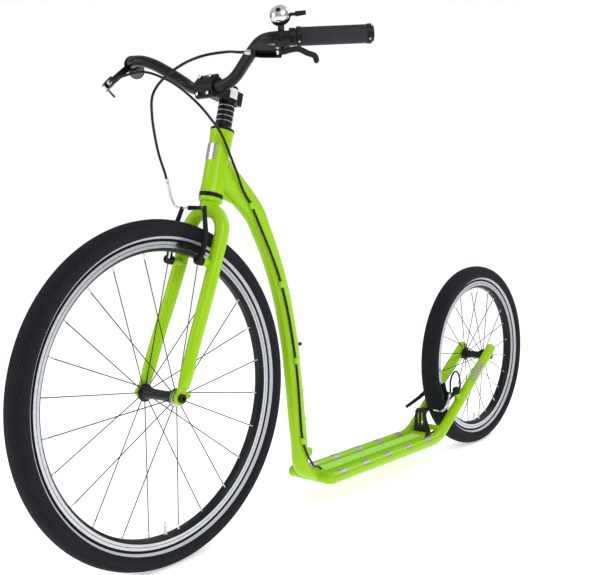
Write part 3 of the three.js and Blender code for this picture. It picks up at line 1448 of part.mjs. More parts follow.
function bellDome() {
  // Shares of the dome's radius and height, from the rim to the flat under the cap.
  const shares = [[1, 0], [0.97, 0.3], [0.83, 0.62], [0.58, 0.87]];
  const outer = shares.map(([wide, high]) => [bellRadius * wide, bellDomeHeight * high]);
  const inner = shares.map(
    ([wide, high]) => [(bellRadius - bellWall) * wide, (bellDomeHeight - bellWall) * high]
  );
  const profile = [
    ...outer, [bellCapRadius, bellDomeHeight], [bellCapRadius, bellDomeHeight + bellCapHeight],
    [0, bellDomeHeight + bellCapHeight], [0, bellDomeHeight - bellWall], ...inner.reverse(),
  ];
  return turned(profile, bellCentre, bellPlace(1), roundSides);
}

function bellTrigger() {
  const bore = (bellNeckRadius + seatGap) / Math.cos(Math.PI / barSides);
  const low = bellPlace(triggerLow);
  const high = bellPlace(triggerLow + bellTriggerThickness);
  const disc = rod(low, high, bellRadius - bellWall, barSides);
  const drill = rod(bellPlace(-bellBaseHeight), bellPlace(bellDomeHeight), bore, barSides);
  const frame = new THREE.Matrix4().makeBasis(
    bellAcross, vec().crossVectors(bellAxis, bellAcross), bellAxis,
  );
  const half = bellTriggerWidth / 2;
  const end = bellTriggerReach;
  const arm = plateXY([
    [0, -half], [end - bellTriggerPaddle, -half * 0.6], [end - bellTriggerPaddle, -half * 1.3], [end, -half],
    [end, half], [end - bellTriggerPaddle, half * 1.3], [end - bellTriggerPaddle, half * 0.6], [0, half],
  ], bellTriggerThickness).applyMatrix4(frame.setPosition(bellPlace(triggerLow + bellTriggerThickness / 2)));
  return cut(joined(disc, arm), drill);
}
addPiece(steering, "bell_base", bellBase(), finishes.plastic);
addPiece(steering, "bell_dome", bellDome(), finishes.silver);
addPiece(steering, "bell_trigger", bellTrigger(), finishes.plastic);

export default bike;
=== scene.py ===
import json
import math

import bmesh
import bpy
from mathutils import Matrix, Vector


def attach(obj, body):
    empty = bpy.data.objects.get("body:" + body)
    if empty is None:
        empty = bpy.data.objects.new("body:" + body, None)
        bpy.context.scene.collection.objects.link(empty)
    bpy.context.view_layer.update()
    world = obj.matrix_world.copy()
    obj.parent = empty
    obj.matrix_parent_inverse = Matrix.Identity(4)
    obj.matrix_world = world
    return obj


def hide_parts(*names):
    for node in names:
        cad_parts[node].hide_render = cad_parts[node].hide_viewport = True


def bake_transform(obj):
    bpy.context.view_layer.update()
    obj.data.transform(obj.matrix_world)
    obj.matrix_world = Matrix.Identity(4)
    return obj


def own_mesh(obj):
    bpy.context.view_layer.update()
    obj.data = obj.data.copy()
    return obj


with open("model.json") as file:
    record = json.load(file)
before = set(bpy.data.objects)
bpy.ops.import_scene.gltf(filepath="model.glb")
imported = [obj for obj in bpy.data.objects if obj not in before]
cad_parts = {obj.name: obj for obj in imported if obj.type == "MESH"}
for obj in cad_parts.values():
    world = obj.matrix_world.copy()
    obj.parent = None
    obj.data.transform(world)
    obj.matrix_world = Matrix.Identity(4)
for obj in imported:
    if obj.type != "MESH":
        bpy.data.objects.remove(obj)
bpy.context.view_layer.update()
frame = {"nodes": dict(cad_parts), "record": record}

# Every size below is in millimetres, in the frame's own axes: X ahead, Y to the rider's left, Z up.
# A mesh gets metres at the last moment, by this factor.
MM = 0.001
AHEAD = Vector((1, 0, 0))
LEFTWARDS = Vector((0, 1, 0))
UPWARDS = Vector((0, 0, 1))
SIDES = {"left": 1, "right": -1}


# ---- Places that the frame gives ----

joints = {joint["name"]: joint for joint in frame["record"]["behaviour"]["joints"]}


def pivot_of(name):
    return Vector(joints[name]["pos_m"]) / MM


def axis_of(name):
    return Vector(joints[name]["axis"]).normalized()


steer_point = pivot_of("steering")
steer_up = axis_of("steering")
steer_ahead = LEFTWARDS.cross(steer_up)


def steered(x, y, z):
    """A point of the steered group: ahead of the steering axis, to the left, and up along it."""
    return steer_point + steer_ahead * x + LEFTWARDS * y + steer_up * z


class BrakePlace:
    """One brake's own axes: its pivot axis, sideways and outwards from the wheel's axle."""

    def __init__(self, origin, ahead, out):
        self.origin = origin
        self.ahead = ahead
        self.out = out
        self.sideways = out.cross(ahead)

    def point(self, along, sideways, out):
        return self.origin + self.ahead * along + self.sideways * sideways + self.out * out


FRONT_PIVOT_RADIUS = 257  # from the axle out to the brake arms' pivots
REAR_PIVOT_RADIUS = 180
BRAKE_SPREAD = 41  # from the middle of the wheel to each pivot
REAR_ARM_OFFSET = 9  # how far the rear arms' pivots lie behind the line from the axle
front_axle = pivot_of("front_wheel_spin")
rear_axle = pivot_of("rear_wheel_spin")
rear_pivot_axis = axis_of("rear_brake_right_squeeze")
front_brake = BrakePlace(front_axle, steer_ahead, steer_up)
rear_brake = BrakePlace(
    rear_axle - rear_pivot_axis * REAR_ARM_OFFSET, rear_pivot_axis, LEFTWARDS.cross(rear_pivot_axis)
)


# ---- Modelling ----

FINE_STEPS = 24  # points that a smooth route is worked out at, between two given ones
SPUN_MERGE = 2e-6  # in metres: vertices of a turned piece that are nearer than this become one
CAD_MERGE = 5e-6
FLAT_ANGLE = 1  # degrees: triangles of a solid that bend less than this become one face
CAD_SMOOTH_ANGLE = 38


def deselect():
    if bpy.context.object and bpy.context.object.mode != "OBJECT":
        bpy.ops.object.mode_set(mode="OBJECT")
    bpy.ops.object.select_all(action="DESELECT")


def primitive(name, operator, **settings):
    deselect()
    operator(**settings)
    piece = bpy.context.object
    piece.name = name
    return piece


def pick(*pieces):
    deselect()
    for piece in pieces:
        piece.select_set(True)
    bpy.context.view_layer.objects.active = pieces[0]


def edit(piece):
    pick(piece)
    bpy.ops.object.mode_set(mode="EDIT")
    bpy.ops.mesh.select_all(action="SELECT")


def face_outwards():
    bpy.ops.mesh.select_all(action="SELECT")
    bpy.ops.mesh.normals_make_consistent(inside=False)


def leave_editing(piece, smooth_angle):
    bpy.ops.object.mode_set(mode="OBJECT")
    pick(piece)
    bpy.ops.object.shade_smooth_by_angle(angle=math.radians(smooth_angle))
    piece.data.name = piece.name
    return piece


def square_to(direction):
    """A unit vector square to a direction."""
    other = UPWARDS if abs(direction.z) < 0.9 else AHEAD
    return direction.cross(other).normalized()


def eased(a, b, start, end, t):
    """The point at t, on the line that is at a when t is start and at b when t is end."""
    return a * ((end - t) / (end - start)) + b * ((t - start) / (end - start))


def catmull(points, count):
    """A smooth route through the points in equal steps: a centripetal Catmull-Rom curve."""
    points = [Vector(p) for p in points]
    ends = [points[0] * 2 - points[1], *points, points[-1] * 2 - points[-2]]
    fine = []
    for four in zip(ends, ends[1:], ends[2:], ends[3:]):
        times = [0.0]
        for a, b in zip(four, four[1:]):
            times.append(times[-1] + max((b - a).length, 1e-6) ** 0.5)
        for step in range(FINE_STEPS):
            t = times[1] + (times[2] - times[1]) * step / FINE_STEPS
            a1, a2, a3 = [eased(four[k], four[k + 1], times[k], times[k + 1], t) for k in range(3)]
            b1, b2 = eased(a1, a2, times[0], times[2], t), eased(a2, a3, times[1], times[3], t)
            fine.append(eased(b1, b2, times[1], times[2], t))
    fine.append(points[-1])
    return evenly(fine, count)


def lengths_along(points):
    lengths = [0.0]
    for a, b in zip(points, points[1:]):
        lengths.append(lengths[-1] + (b - a).length)
    return lengths


def evenly(points, count):
    """The same route in equal steps."""
    lengths = lengths_along(points)
    out, k = [], 0
    for step in range(count + 1):
        want = lengths[-1] * step / count
        while k < len(points) - 2 and lengths[k + 1] < want:
            k += 1
        share = (want - lengths[k]) / max(lengths[k + 1] - lengths[k], 1e-9)
        out.append(points[k].lerp(points[k + 1], min(max(share, 0), 1)))
    return out


def sweep(name, path, radii, sides=24, across=None, smooth_angle=40, squareness=1.0):
    """A bar along a path: a disc extruded ring by ring, each ring set at its own place and size.

    Each radius is one number, or a pair: along the sideways direction, and square to it.
    A squareness under 1 fills the ring out towards a rounded rectangle.
    """
    path = [Vector(p) for p in path]
    piece = primitive(
        name, bpy.ops.mesh.primitive_circle_add, vertices=sides, radius=1, fill_type="NGON",
        enter_editmode=True,
    )
    last = len(path) - 1
    side = None
    angles = {}
    for i, centre in enumerate(path):
        along = (path[min(i + 1, last)] - path[max(i - 1, 0)]).normalized()
        if across is not None:
            side = across - along * across.dot(along)
        elif side is None:
            side = square_to(along)
        else:
            side = side - along * side.dot(along)
        side.normalize()
        up = along.cross(side)
        wide, high = radii[i] if isinstance(radii[i], tuple) else (radii[i], radii[i])
        if i:
            bpy.ops.mesh.extrude_region_move()
        shape = bmesh.from_edit_mesh(piece.data)
        placed = {}
        for vertex in [v for v in shape.verts if v.select]:
            angle = angles[key_of(vertex.co)] if i else math.atan2(vertex.co.y, vertex.co.x)
            reach_across, reach_up = math.cos(angle), math.sin(angle)
            if squareness != 1:
                reach_across = math.copysign(abs(reach_across) ** squareness, reach_across)
                reach_up = math.copysign(abs(reach_up) ** squareness, reach_up)
            vertex.co = (centre + side * wide * reach_across + up * high * reach_up) * MM
            placed[key_of(vertex.co)] = angle
        angles = placed
        bmesh.update_edit_mesh(piece.data)
    face_outwards()
    return leave_editing(piece, smooth_angle)


def key_of(place):
    """A vertex's place as a key that stays the same when the ring is extruded."""
    return tuple(round(value, 8) for value in place)


def lathe(name, profile, base, axis, steps=48, smooth_angle=35, start=None):
    """A turned piece: a profile of (radius, along), drawn edge by edge and spun about the axis."""
    base, axis = Vector(base), Vector(axis).normalized()
    across = start or square_to(axis)
    points = [(base + axis * along + across * radius) * MM for radius, along in profile]
    piece = primitive(name, bpy.ops.mesh.primitive_plane_add, size=MM, enter_editmode=True)
    shape = bmesh.from_edit_mesh(piece.data)
    bmesh.ops.delete(shape, geom=list(shape.verts)[1:], context="VERTS")
    for vertex in shape.verts:
        vertex.co = points[0]
        vertex.select = True
    bmesh.update_edit_mesh(piece.data)
    for point in points[1:]:
        bpy.ops.mesh.extrude_region_move()
        shape = bmesh.from_edit_mesh(piece.data)
        for vertex in shape.verts:
            if vertex.select:
                vertex.co = point
        bmesh.update_edit_mesh(piece.data)
    bpy.ops.mesh.select_all(action="SELECT")
    bpy.ops.mesh.spin(steps=steps, angle=2 * math.pi, center=base * MM, axis=axis)
    bpy.ops.mesh.select_all(action="SELECT")
    bpy.ops.mesh.remove_doubles(threshold=SPUN_MERGE)
    face_outwards()
    return leave_editing(piece, smooth_angle)


def mirrored(half):
    """A profile from its outer end to the middle, and on through its mirror image."""
    return half + [(radius, -along) for radius, along in reversed(half[:-1])]


def plate(name, outline, thickness, rounding=0.6, smooth_angle=35):
    """A flat plate: an outline of points in space, extruded by a vector, with its edges rounded."""
    outline = [Vector(p) for p in outline]
    piece = primitive(
        name, bpy.ops.mesh.primitive_circle_add, vertices=len(outline), radius=1, fill_type="NGON",
        enter_editmode=True,
    )
    shape = bmesh.from_edit_mesh(piece.data)
    corners = sorted(shape.verts, key=lambda v: math.atan2(v.co.y, v.co.x))
    for vertex, point in zip(corners, outline):
        vertex.co = (point - thickness / 2) * MM
    bmesh.update_edit_mesh(piece.data)
    bpy.ops.mesh.extrude_region_move(TRANSFORM_OT_translate={"value": thickness * MM})
    face_outwards()
    leave_editing(piece, smooth_angle)
    return rounded(piece, rounding) if rounding else piece


def rounded(piece, width, segments=2, angle=30):
    pick(piece)
    bevel = piece.modifiers.new("rounding", "BEVEL")
    bevel.width = width * MM
    bevel.segments = segments
    bevel.limit_method = "ANGLE"
    bevel.angle_limit = math.radians(angle)
    bevel.miter_outer = "MITER_ARC"
    bpy.ops.object.modifier_apply(modifier=bevel.name)
    bpy.ops.object.shade_smooth_by_angle(angle=math.radians(CAD_SMOOTH_ANGLE))
    return piece


def cad_copy(name, node):
    """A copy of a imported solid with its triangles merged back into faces."""
    deselect()
    piece = bpy.data.objects.new(name, frame["nodes"][node].data.copy())
    bpy.context.collection.objects.link(piece)
    piece.data.materials.clear()
    edit(piece)
    bpy.ops.mesh.remove_doubles(threshold=CAD_MERGE)
    bpy.ops.mesh.dissolve_limited(angle_limit=math.radians(FLAT_ANGLE))
    return leave_editing(piece, CAD_SMOOTH_ANGLE)


def join(name, *pieces):
    pick(*pieces)
    if len(pieces) > 1:
        bpy.ops.object.join()
    piece = bpy.context.view_layer.objects.active
    piece.name = name
    piece.data.name = name
    return piece


def bolt_head(name, seat, direction, radius, height, material, body):
    """A domed bolt head with a round driver recess, as a finished piece."""
    inner = radius * 0.5
    profile = [
        (0, 0), (radius, 0), (radius, height * 0.55), (radius * 0.86, height * 0.9),
        (radius * 0.66, height), (inner, height), (inner * 0.94, height * 0.35), (0, height * 0.35),
    ]
    dress(lathe(name, profile, seat, direction, 20, 30), material, body)


def dress(piece, material, body, *nodes, slot=None):
    """Gives a piece its finish, the body that it rides and the solids it stands for. The slot is
    not used.
    """
    piece.data.materials.clear()
    piece.data.materials.append(material)
    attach(piece, body)
    if nodes:
        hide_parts(*nodes)
    return piece


def from_cad(name, node, rounding, material, body):
    """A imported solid's own shape with its edges rounded, as a finished piece."""
    return dress(rounded(cad_copy(name, node), rounding), material, body, node)


def raise_faces(piece, wanted, margin, height):
    """Insets the faces that a test picks by this margin, and raises them."""
    edit(piece)
    bpy.ops.mesh.select_mode(type="FACE")
    bpy.ops.mesh.select_all(action="DESELECT")
    shape = bmesh.from_edit_mesh(piece.data)
    for face in shape.faces:
        face.select = wanted(face)
    bmesh.update_edit_mesh(piece.data)
    bpy.ops.mesh.inset(thickness=margin * MM, depth=height * MM, use_even_offset=True)
    bpy.ops.mesh.select_mode(type="VERT")


def paint_faces(piece, material, wanted):
    """Gives a second material to the faces that a test picks by their centre, in millimetres."""
    piece.data.materials.append(material)
    index = len(piece.data.materials) - 1
    for face in piece.data.polygons:
        if wanted(Vector(face.center) / MM, face.normal):
            face.material_index = index


# ---- Materials ----

def linear(colour):
    """An sRGB hex colour as linear light."""
    values = [int(colour[i:i + 2], 16) / 255 for i in (1, 3, 5)]
    light = [v / 12.92 if v <= 0.04045 else ((v + 0.055) / 1.055) ** 2.4 for v in values]
    return (*light, 1.0)


def add(tree, kind, settings):
    """One node with its settings. A setting that is another node's socket becomes a link."""
    node = tree.nodes.new("ShaderNode" + kind)
    for key, value in settings.items():
        if isinstance(value, bpy.types.NodeSocket):
            tree.links.new(value, node.inputs[key])
        elif isinstance(key, int) or key in node.inputs:
            node.inputs[key].default_value = value
        else:
            setattr(node, key, value)
    return node


def finish(name, slot, colour, roughness, tints=None, polish=None, relief=None, **more):
    """A material with a Principled shader. The slot argument is not used.

    Tints, polish and relief are each a noise on the piece's own coordinates: its grain in
    millimetres and its detail, and then the two colours or the two roughnesses that it runs
    between, or the relief's strength and its depth.
    """
    material = bpy.data.materials.new(name)
    material.use_nodes = True
    tree = material.node_tree
    shader = tree.nodes["Principled BSDF"]
    shader.inputs["Base Color"].default_value = linear(colour)
    shader.inputs["Roughness"].default_value = roughness
    for key, value in more.items():
        shader.inputs[key.replace("_", " ")].default_value = value
    place = add(tree, "TexCoord", {}).outputs["Object"]
    for socket, pattern in (("Base Color", tints), ("Roughness", polish), ("Normal", relief)):
        if not pattern:
            continue
        size, detail, low, high = pattern
        noise = add(tree, "TexNoise", {"Scale": 1 / (size * MM), "Detail": detail, "Vector": place})
        value = noise.outputs["Fac"]
        if socket == "Base Color":
            out = add(
                tree, "Mix",
                {"data_type": "RGBA", 6: linear(low), 7: linear(high), "Factor": value},
            ).outputs[2]
        elif socket == "Roughness":
            out = add(
                tree, "MapRange",
                {"From Min": 0.3, "From Max": 0.7, "To Min": low, "To Max": high, "Value": value},
            ).outputs["Result"]
        else:
            out = add(
                tree, "Bump", {"Strength": low, "Distance": high * MM, "Height": value}
            ).outputs["Normal"]
        tree.links.new(out, shader.inputs[socket])
    return material


# Sprayed and baked gloss enamel: an even coat with a faint orange-peel ripple and a clear top.
lime = finish(
    "lime_gloss_enamel", "frame_paint", "#9bd000", 0.36, (60, 2, "#98cd00", "#9dd201"),
    (30, 3, 0.28, 0.34), (4, 2, 0.03, 0.12), Coat_Weight=0.22, Coat_Roughness=0.1,
    Specular_IOR_Level=0.2,
)
# The top of the deck beam: the frame's lime painted paler, as painted light on its upward face,
# satin, its tone varying at random.
lime_with_painted_top_light = finish(
    "lime_enamel_painted_lit_top", "frame_paint", "#b4ec58", 0.5, (10, 3, "#a6e540", "#c2f07a"),
    relief=(0.9, 3, 0.2, 0.2),
)
# Black enamel on steel and alloy: semi-gloss, with the slight waviness of a thin sprayed coat.
gloss_black = finish(
    "black_semi_gloss_enamel", "black_paint", "#0d0e10", 0.34, (35, 2, "#08090a", "#0f1012"),
    (8, 3, 0.28, 0.42), (1.6, 2, 0.08, 0.2), Coat_Weight=0.08, Coat_Roughness=0.15,
    Specular_IOR_Level=0.25,
)
# Anodised aluminium: dark metal with a fine satin sheen and faint lines from its rolling.
anodised = finish(
    "black_anodised_aluminium", "black_paint", "#101114", 0.36, None, (2.5, 4, 0.32, 0.48),
    (0.9, 2, 0.05, 0.1), Metallic=0.3, Specular_IOR_Level=0.3,
)
# A turned brake track: bright aluminium, its cutter marks drawn as coarse as they need to show.
turned_metal = finish(
    "turned_aluminium_track", "silver_metal", "#c6c9cd", 0.3, (5, 3, "#b4b8bd", "#d3d6da"),
    (3, 4, 0.24, 0.38), Metallic=1.0,
)
# Zinc-plated and polished steel: bolt heads, nipples, noodles and the badge.
bright = finish(
    "bright_plated_steel", "silver_metal", "#d3d5d8", 0.22, None, (2, 3, 0.17, 0.3),
    (1.2, 2, 0.04, 0.1), Metallic=1.0,
)
# Chrome over brass: a bright metal, a little clouded by weather and hands.
chrome = finish(
    "polished_chrome_plate", "bell_chrome", "#dfe1e4", 0.2, None, (9, 3, 0.17, 0.24), Metallic=1.0
)
# Soft moulded rubber: dark blue-grey and matt, with a fine grain.
soft_rubber = finish(
    "soft_grip_rubber", "grip_rubber", "#1d2025", 0.6, (22, 2, "#1b1e23", "#24272c"),
    relief=(0.8, 3, 0.25, 0.25), Specular_IOR_Level=0.3,
)
# Injection-moulded nylon: near black with an even spark-eroded grain.
nylon = finish(
    "grained_black_nylon", "black_plastic", "#101113", 0.48, (12, 3, "#0c0d0f", "#151618"),
    relief=(0.7, 2, 0.2, 0.15), Specular_IOR_Level=0.3,
)
# Brake-block compound and boots: dull black rubber with a dusty bloom.
dull_rubber = finish(
    "dull_black_rubber", "brake_rubber", "#131416", 0.75, (6, 4, "#0e0f10", "#1a1b1d"),
    relief=(0.8, 3, 0.2, 0.2), Specular_IOR_Level=0.2,
)
# The PVC sleeve of a brake cable: smooth glossy black with a soft ripple from its wound liner.
sleeve = finish(
    "glossy_pvc_sleeve", "cable_housing", "#08090a", 0.3, None, (4, 2, 0.22, 0.36),
    Specular_IOR_Level=0.3,
)
# A blank vinyl label: satin off-white, a little uneven where it lies over the metal.
label = finish(
    "blank_satin_label", "silver_metal", "#e9eaec", 0.4, (8, 2, "#dfe1e4", "#f1f2f3")
)


def tyre_rubber(wheel, centre, stripe_radius, stripe_width):
    # Vulcanised rubber: matt black, with a woven silver reflective band round the sidewall.
    material = finish(
        f"{wheel}_tyre_rubber", "tyre", "#1d1e21", 0.78, relief=(1.4, 3, 0.3, 0.3),
        Specular_IOR_Level=0.2,
    )
    tree = material.node_tree
    shader = tree.nodes["Principled BSDF"]
    place = add(tree, "TexCoord", {}).outputs["Object"]
    middle = add(tree, "Mapping", {"Location": tuple(-centre * MM), "Vector": place})
    flat = add(
        tree, "VectorMath", {"operation": "MULTIPLY", 1: (1, 0, 1), 0: middle.outputs["Vector"]}
    )
    reach = add(tree, "VectorMath", {"operation": "LENGTH", 0: flat.outputs["Vector"]})
    away = add(
        tree, "Math", {"operation": "SUBTRACT", 1: stripe_radius * MM, 0: reach.outputs["Value"]}
    )
    near = add(tree, "Math", {"operation": "ABSOLUTE", 0: away.outputs[0]})
    full, none = (stripe_width * share * MM for share in (0.42, 0.5))
    inside = add(
        tree, "MapRange", {"From Min": full, "From Max": none, "To Min": 1, "To Max": 0,
        "Value": near.outputs[0]},
    ).outputs["Result"]
    noise = add(tree, "TexNoise", {"Scale": 1 / (9 * MM), "Detail": 4, "Vector": place})
    rubber = add(
        tree, "Mix", {"data_type": "RGBA", 6: linear("#0e1013"), 7: linear("#1d2127"),
        "Factor": noise.outputs["Fac"]},
    )
    colour = add(
        tree, "Mix",
        {"data_type": "RGBA", 7: linear("#c3c6cd"), "Factor": inside, 6: rubber.outputs[2]},
    )
    tree.links.new(colour.outputs[2], shader.inputs["Base Color"])
    rough = add(
        tree, "MapRange",
        {"From Min": 0, "From Max": 1, "To Min": 0.78, "To Max": 0.42, "Value": inside},
    )
    tree.links.new(rough.outputs["Result"], shader.inputs["Roughness"])
    return material


def reflective_tape():
    # Prismatic reflective film: silver-white, a diamond lattice of sealed cells, 4 mm apart.
    material = finish("prismatic_reflective_film", "silver_metal", "#cfd3d6", 0.3, Metallic=0.35)
    tree = material.node_tree
    shader = tree.nodes["Principled BSDF"]
    place = add(tree, "TexCoord", {}).outputs["Object"]
    waves = []
    for turn in (45, -45):
        aim = add(tree, "Mapping", {"Rotation": (0, 0, math.radians(turn)), "Vector": place})
        waves.append(add(
            tree, "TexWave", {"Scale": 1 / (4 * MM) / 3.2, "bands_direction": "X",
            "Vector": aim.outputs["Vector"]},
        ).outputs["Fac"])
    lattice = add(tree, "Math", {"operation": "MINIMUM", 0: waves[0], 1: waves[1]})
    lines = add(
        tree, "MapRange", {"From Min": 0.05, "From Max": 0.3, "To Min": 0, "To Max": 1,
        "Value": lattice.outputs[0]},
    )
    colour = add(
        tree, "Mix", {"data_type": "RGBA", 6: linear("#827d85"), 7: linear("#c9c2ca"),
        "Factor": lines.outputs["Result"]},
    )
    tree.links.new(colour.outputs[2], shader.inputs["Base Color"])
    return material


film = reflective_tape()


# ---- Copies, and film laid round a bar ----

def copied(piece, name, matrix):
    """A piece modelled once and put somewhere else, with a mesh of its own."""
    pick(piece)
    bpy.ops.object.duplicate()
    twin = bpy.context.object
    twin.name = name
    twin.data.name = name
    twin.data.transform(matrix)
    if matrix.determinant() < 0:
        edit(twin)
        face_outwards()
        leave_editing(twin, CAD_SMOOTH_ANGLE)
    return twin


def turned_about(centre, axis, angle):
    place = Vector(centre) * MM
    return Matrix.Translation(place) @ Matrix.Rotation(angle, 4, axis) @ Matrix.Translation(-place)


def wrapped_patch(name, centre, along, outwards, radius, half_length, half_angle, thickness=0.3):
    """A thin film that lies on a round bar: a grid whose vertices are laid round the bar."""
    along, outwards = along.normalized(), outwards.normalized()
    beside = along.cross(outwards)
    piece = primitive(
        name, bpy.ops.mesh.primitive_grid_add, x_subdivisions=2, y_subdivisions=14, size=2
    )
    for vertex in piece.data.vertices:
        angle = half_angle * vertex.co.y
        out = outwards * math.cos(angle) + beside * math.sin(angle)
        vertex.co = (centre + along * half_length * vertex.co.x + out * (radius + thickness)) * MM
    pick(piece)
    sheet = piece.modifiers.new("film thickness", "SOLIDIFY")
    sheet.thickness = thickness * 1.5 * MM
    sheet.offset = 0
    bpy.ops.object.modifier_apply(modifier=sheet.name)
    edit(piece)
    face_outwards()
    return leave_editing(piece, 50)


# ---- Wheels ----

TREAD_DEPTH = 0.9
TREAD_STEP = 5.7  # one block's length round the tyre
TREAD_ROWS = 7  # rows of blocks on each side of the crown
SMALLEST_BLOCK = 0.5 * (TREAD_STEP * 2.6)  # mm2: smaller faces are walls of raised blocks
TREAD_EDGE = -11  # no block lies further in than this from the crown
WALL_POINTS = 18
RIM_STEPS = 176
BRAKE_TRACK_Y = 12.45  # the brake tracks lie further out than this
STRIPE_INWARDS = 33.6  # the reflective band, in from the tread
STRIPE_WIDTH = 4.6
CROWN_INWARDS = 59  # the rim's inner face, in from the tread
SPOKES = 24
FIRST_SPOKE = 8.4  # degrees


def tyre_piece(wheel, centre, radius):
    """The tyre, turned without its tread, and then its blocks raised in a herringbone."""
    # One side from the bead to the middle of the tread: sideways, and out from the tread.
    side = [
        (10.2, -45, 0), (10.4, -38.7, 0), (20.6, -28.4, 0), (23.3, -17.1, 0), (17.6, -6.2, 0),
        (9, -2.2, 0), (0, -TREAD_DEPTH - 0.15, 0),
    ]
    wall = [(p.x, p.y) for p in catmull(side, WALL_POINTS)]
    half = [(radius + out, y) for y, out in wall]
    steps = 4 * round(2 * math.pi * radius / TREAD_STEP / 4)
    piece = lathe(
        f"{wheel}_tyre_body", mirrored(half) + half[:1], centre, LEFTWARDS, steps, 50, start=AHEAD
    )
    middles = [((a[0] + b[0]) / 2, (a[1] + b[1]) / 2) for a, b in zip(wall, wall[1:])]

    def block_of(face):
        """In which of two turns a face is raised as a block, or None where there is no block."""
        at = face.calc_center_median() / MM - centre
        out = math.hypot(at.x, at.z) - radius
        if out < TREAD_EDGE or len(face.verts) != 4:
            return None
        row = min(
            range(len(middles)),
            key=lambda k: (middles[k][0] - abs(at.y)) ** 2 + (middles[k][1] - out) ** 2,
        )
        from_crown = len(middles) - 1 - row
        if from_crown >= TREAD_ROWS or face.calc_area() < SMALLEST_BLOCK * MM * MM:
            return None
        step = int(math.atan2(at.z, at.x) / (2 * math.pi) * steps + steps)
        return (step + from_crown) // 2 % 2

    for turn in (0, 1):
        raise_faces(piece, lambda face: block_of(face) == turn, 0.5, TREAD_DEPTH)
        leave_editing(piece, 30)
    return piece


def rim_piece(wheel, centre, radius):
    """The double-wall rim: lips, brake tracks with a wear groove, and the tyre's channel."""
    half = [
        (0, -59.2), (6, -59), (9.4, -56.6), (12, -53.4), (12.5, -52.6), (12.5, -47.4),
        (12.1, -46.9), (12.5, -46.4), (12.5, -41), (12, -40.1), (11, -40.1), (10.5, -40.8),
        (10.5, -45.3), (0, -46.2),
    ]
    ring = mirrored([(radius + out, y) for y, out in half])
    piece = lathe(f"{wheel}_rim_body", ring, centre, LEFTWARDS, RIM_STEPS, 28, start=AHEAD)
    dress(piece, anodised, f"{wheel}_wheel", f"{wheel}_rim", slot="rim_black")
    paint_faces(
        piece, turned_metal, lambda at, normal: abs(at.y) > BRAKE_TRACK_Y and abs(normal.y) > 0.9
    )


def spoke_set(wheel, centre, radius, flange):
    """One spoke and one nipple for each side, turned round the hub."""
    spokes, nipples = [], []
    crown = radius - CROWN_INWARDS
    for side in (-1, 1):
        foot = centre + Vector((14.5, side * flange, 0))
        tip = centre + Vector((crown, side * 2.5, 0))
        along = (tip - foot).normalized()
        length = (tip - foot).length
        spoke = lathe(
            f"{wheel}_spoke", [
                (0, -1.4), (1.5, -1.2), (1.7, 0), (1.2, 1.6), (1.05, 4), (0.95, 26),
                (0.95, length - 26), (1.1, length - 13), (1.1, length - 4), (0, length - 3.6),
            ], foot, along, 10, 50,
        )
        nipple = lathe(
            f"{wheel}_nipple", [
                (0, length - 12.5), (1.3, length - 12.3), (1.75, length - 11.6), (1.75, length - 4),
                (2.3, length - 2.4), (2.4, length + 0.4), (0, length + 0.8),
            ], foot, along, 12, 40,
        )
        # The spokes go to the left and the right flange by turns.
        for k in range(1 if side > 0 else 0, SPOKES, 2):
            angle = math.radians(FIRST_SPOKE + 360 / SPOKES * k)
            turn = turned_about(centre, LEFTWARDS, -angle)
            spokes.append(copied(spoke, f"{wheel}_spoke_{k}", turn))
            nipples.append(copied(nipple, f"{wheel}_nipple_{k}", turn))
        for first in (spoke, nipple):
            bpy.data.objects.remove(first)
    return join(f"{wheel}_spokes", *spokes), join(f"{wheel}_nipples", *nipples)


def hub_piece(wheel, centre, flange, cap_length):
    """The hub shell: a waisted barrel, two flanges and the bright end caps."""
    face = flange + 1.5 + cap_length
    half = [
        (5, face), (11.6, face), (12.6, face - 0.6), (13, flange + 2), (16.8, flange + 1.5),
        (17.5, flange + 0.9), (17.5, flange - 0.9), (16.8, flange - 1.5), (13.8, flange - 2.6),
        (11.8, flange - 6), (11.3, flange - 10), (9.9, flange * 0.4), (9.7, 0),
    ]
    piece = lathe(f"{wheel}_hub_shell", mirrored(half) + half[:1], centre, LEFTWARDS, 56, 32)
    dress(piece, gloss_black, f"{wheel}_wheel", f"{wheel}_hub_spokes")
    # Only the front wheel's end caps are bright.
    paint_faces(
        piece, turned_metal, lambda at, normal: abs(at.y) > flange + 1.6 and wheel == "front"
    )


def axle_piece(wheel, centre, hub_face, plate_in, plate_out, bolt_length, body):
    """The axle with a locknut inside each fork end or stay end, and a bolt outside it."""
    end = plate_out + bolt_length
    half = [
        (0, end - 3.2), (3.4, end - 3.2), (3.5, end - 0.5), (4.1, end), (7.5, end),
        (8.5, end - 0.9), (8.5, plate_out + 1.6), (8.1, plate_out + 0.3), (4.7, plate_out + 0.3),
        (4.7, plate_in - 0.3), (8.3, plate_in - 0.3), (8.5, plate_in - 0.8), (8.5, hub_face + 0.8),
        (8.3, hub_face + 0.3), (4.7, hub_face + 0.3), (4.7, 0),
    ]
    piece = lathe(f"{wheel}_axle_and_bolts", mirrored(half), centre, LEFTWARDS, 40, 32)
    dress(piece, gloss_black, body, f"{wheel}_axle")
    paint_faces(
        piece, turned_metal,
        lambda at, normal: plate_in - 0.2 > abs(at.y) > hub_face and wheel == "front",
    )


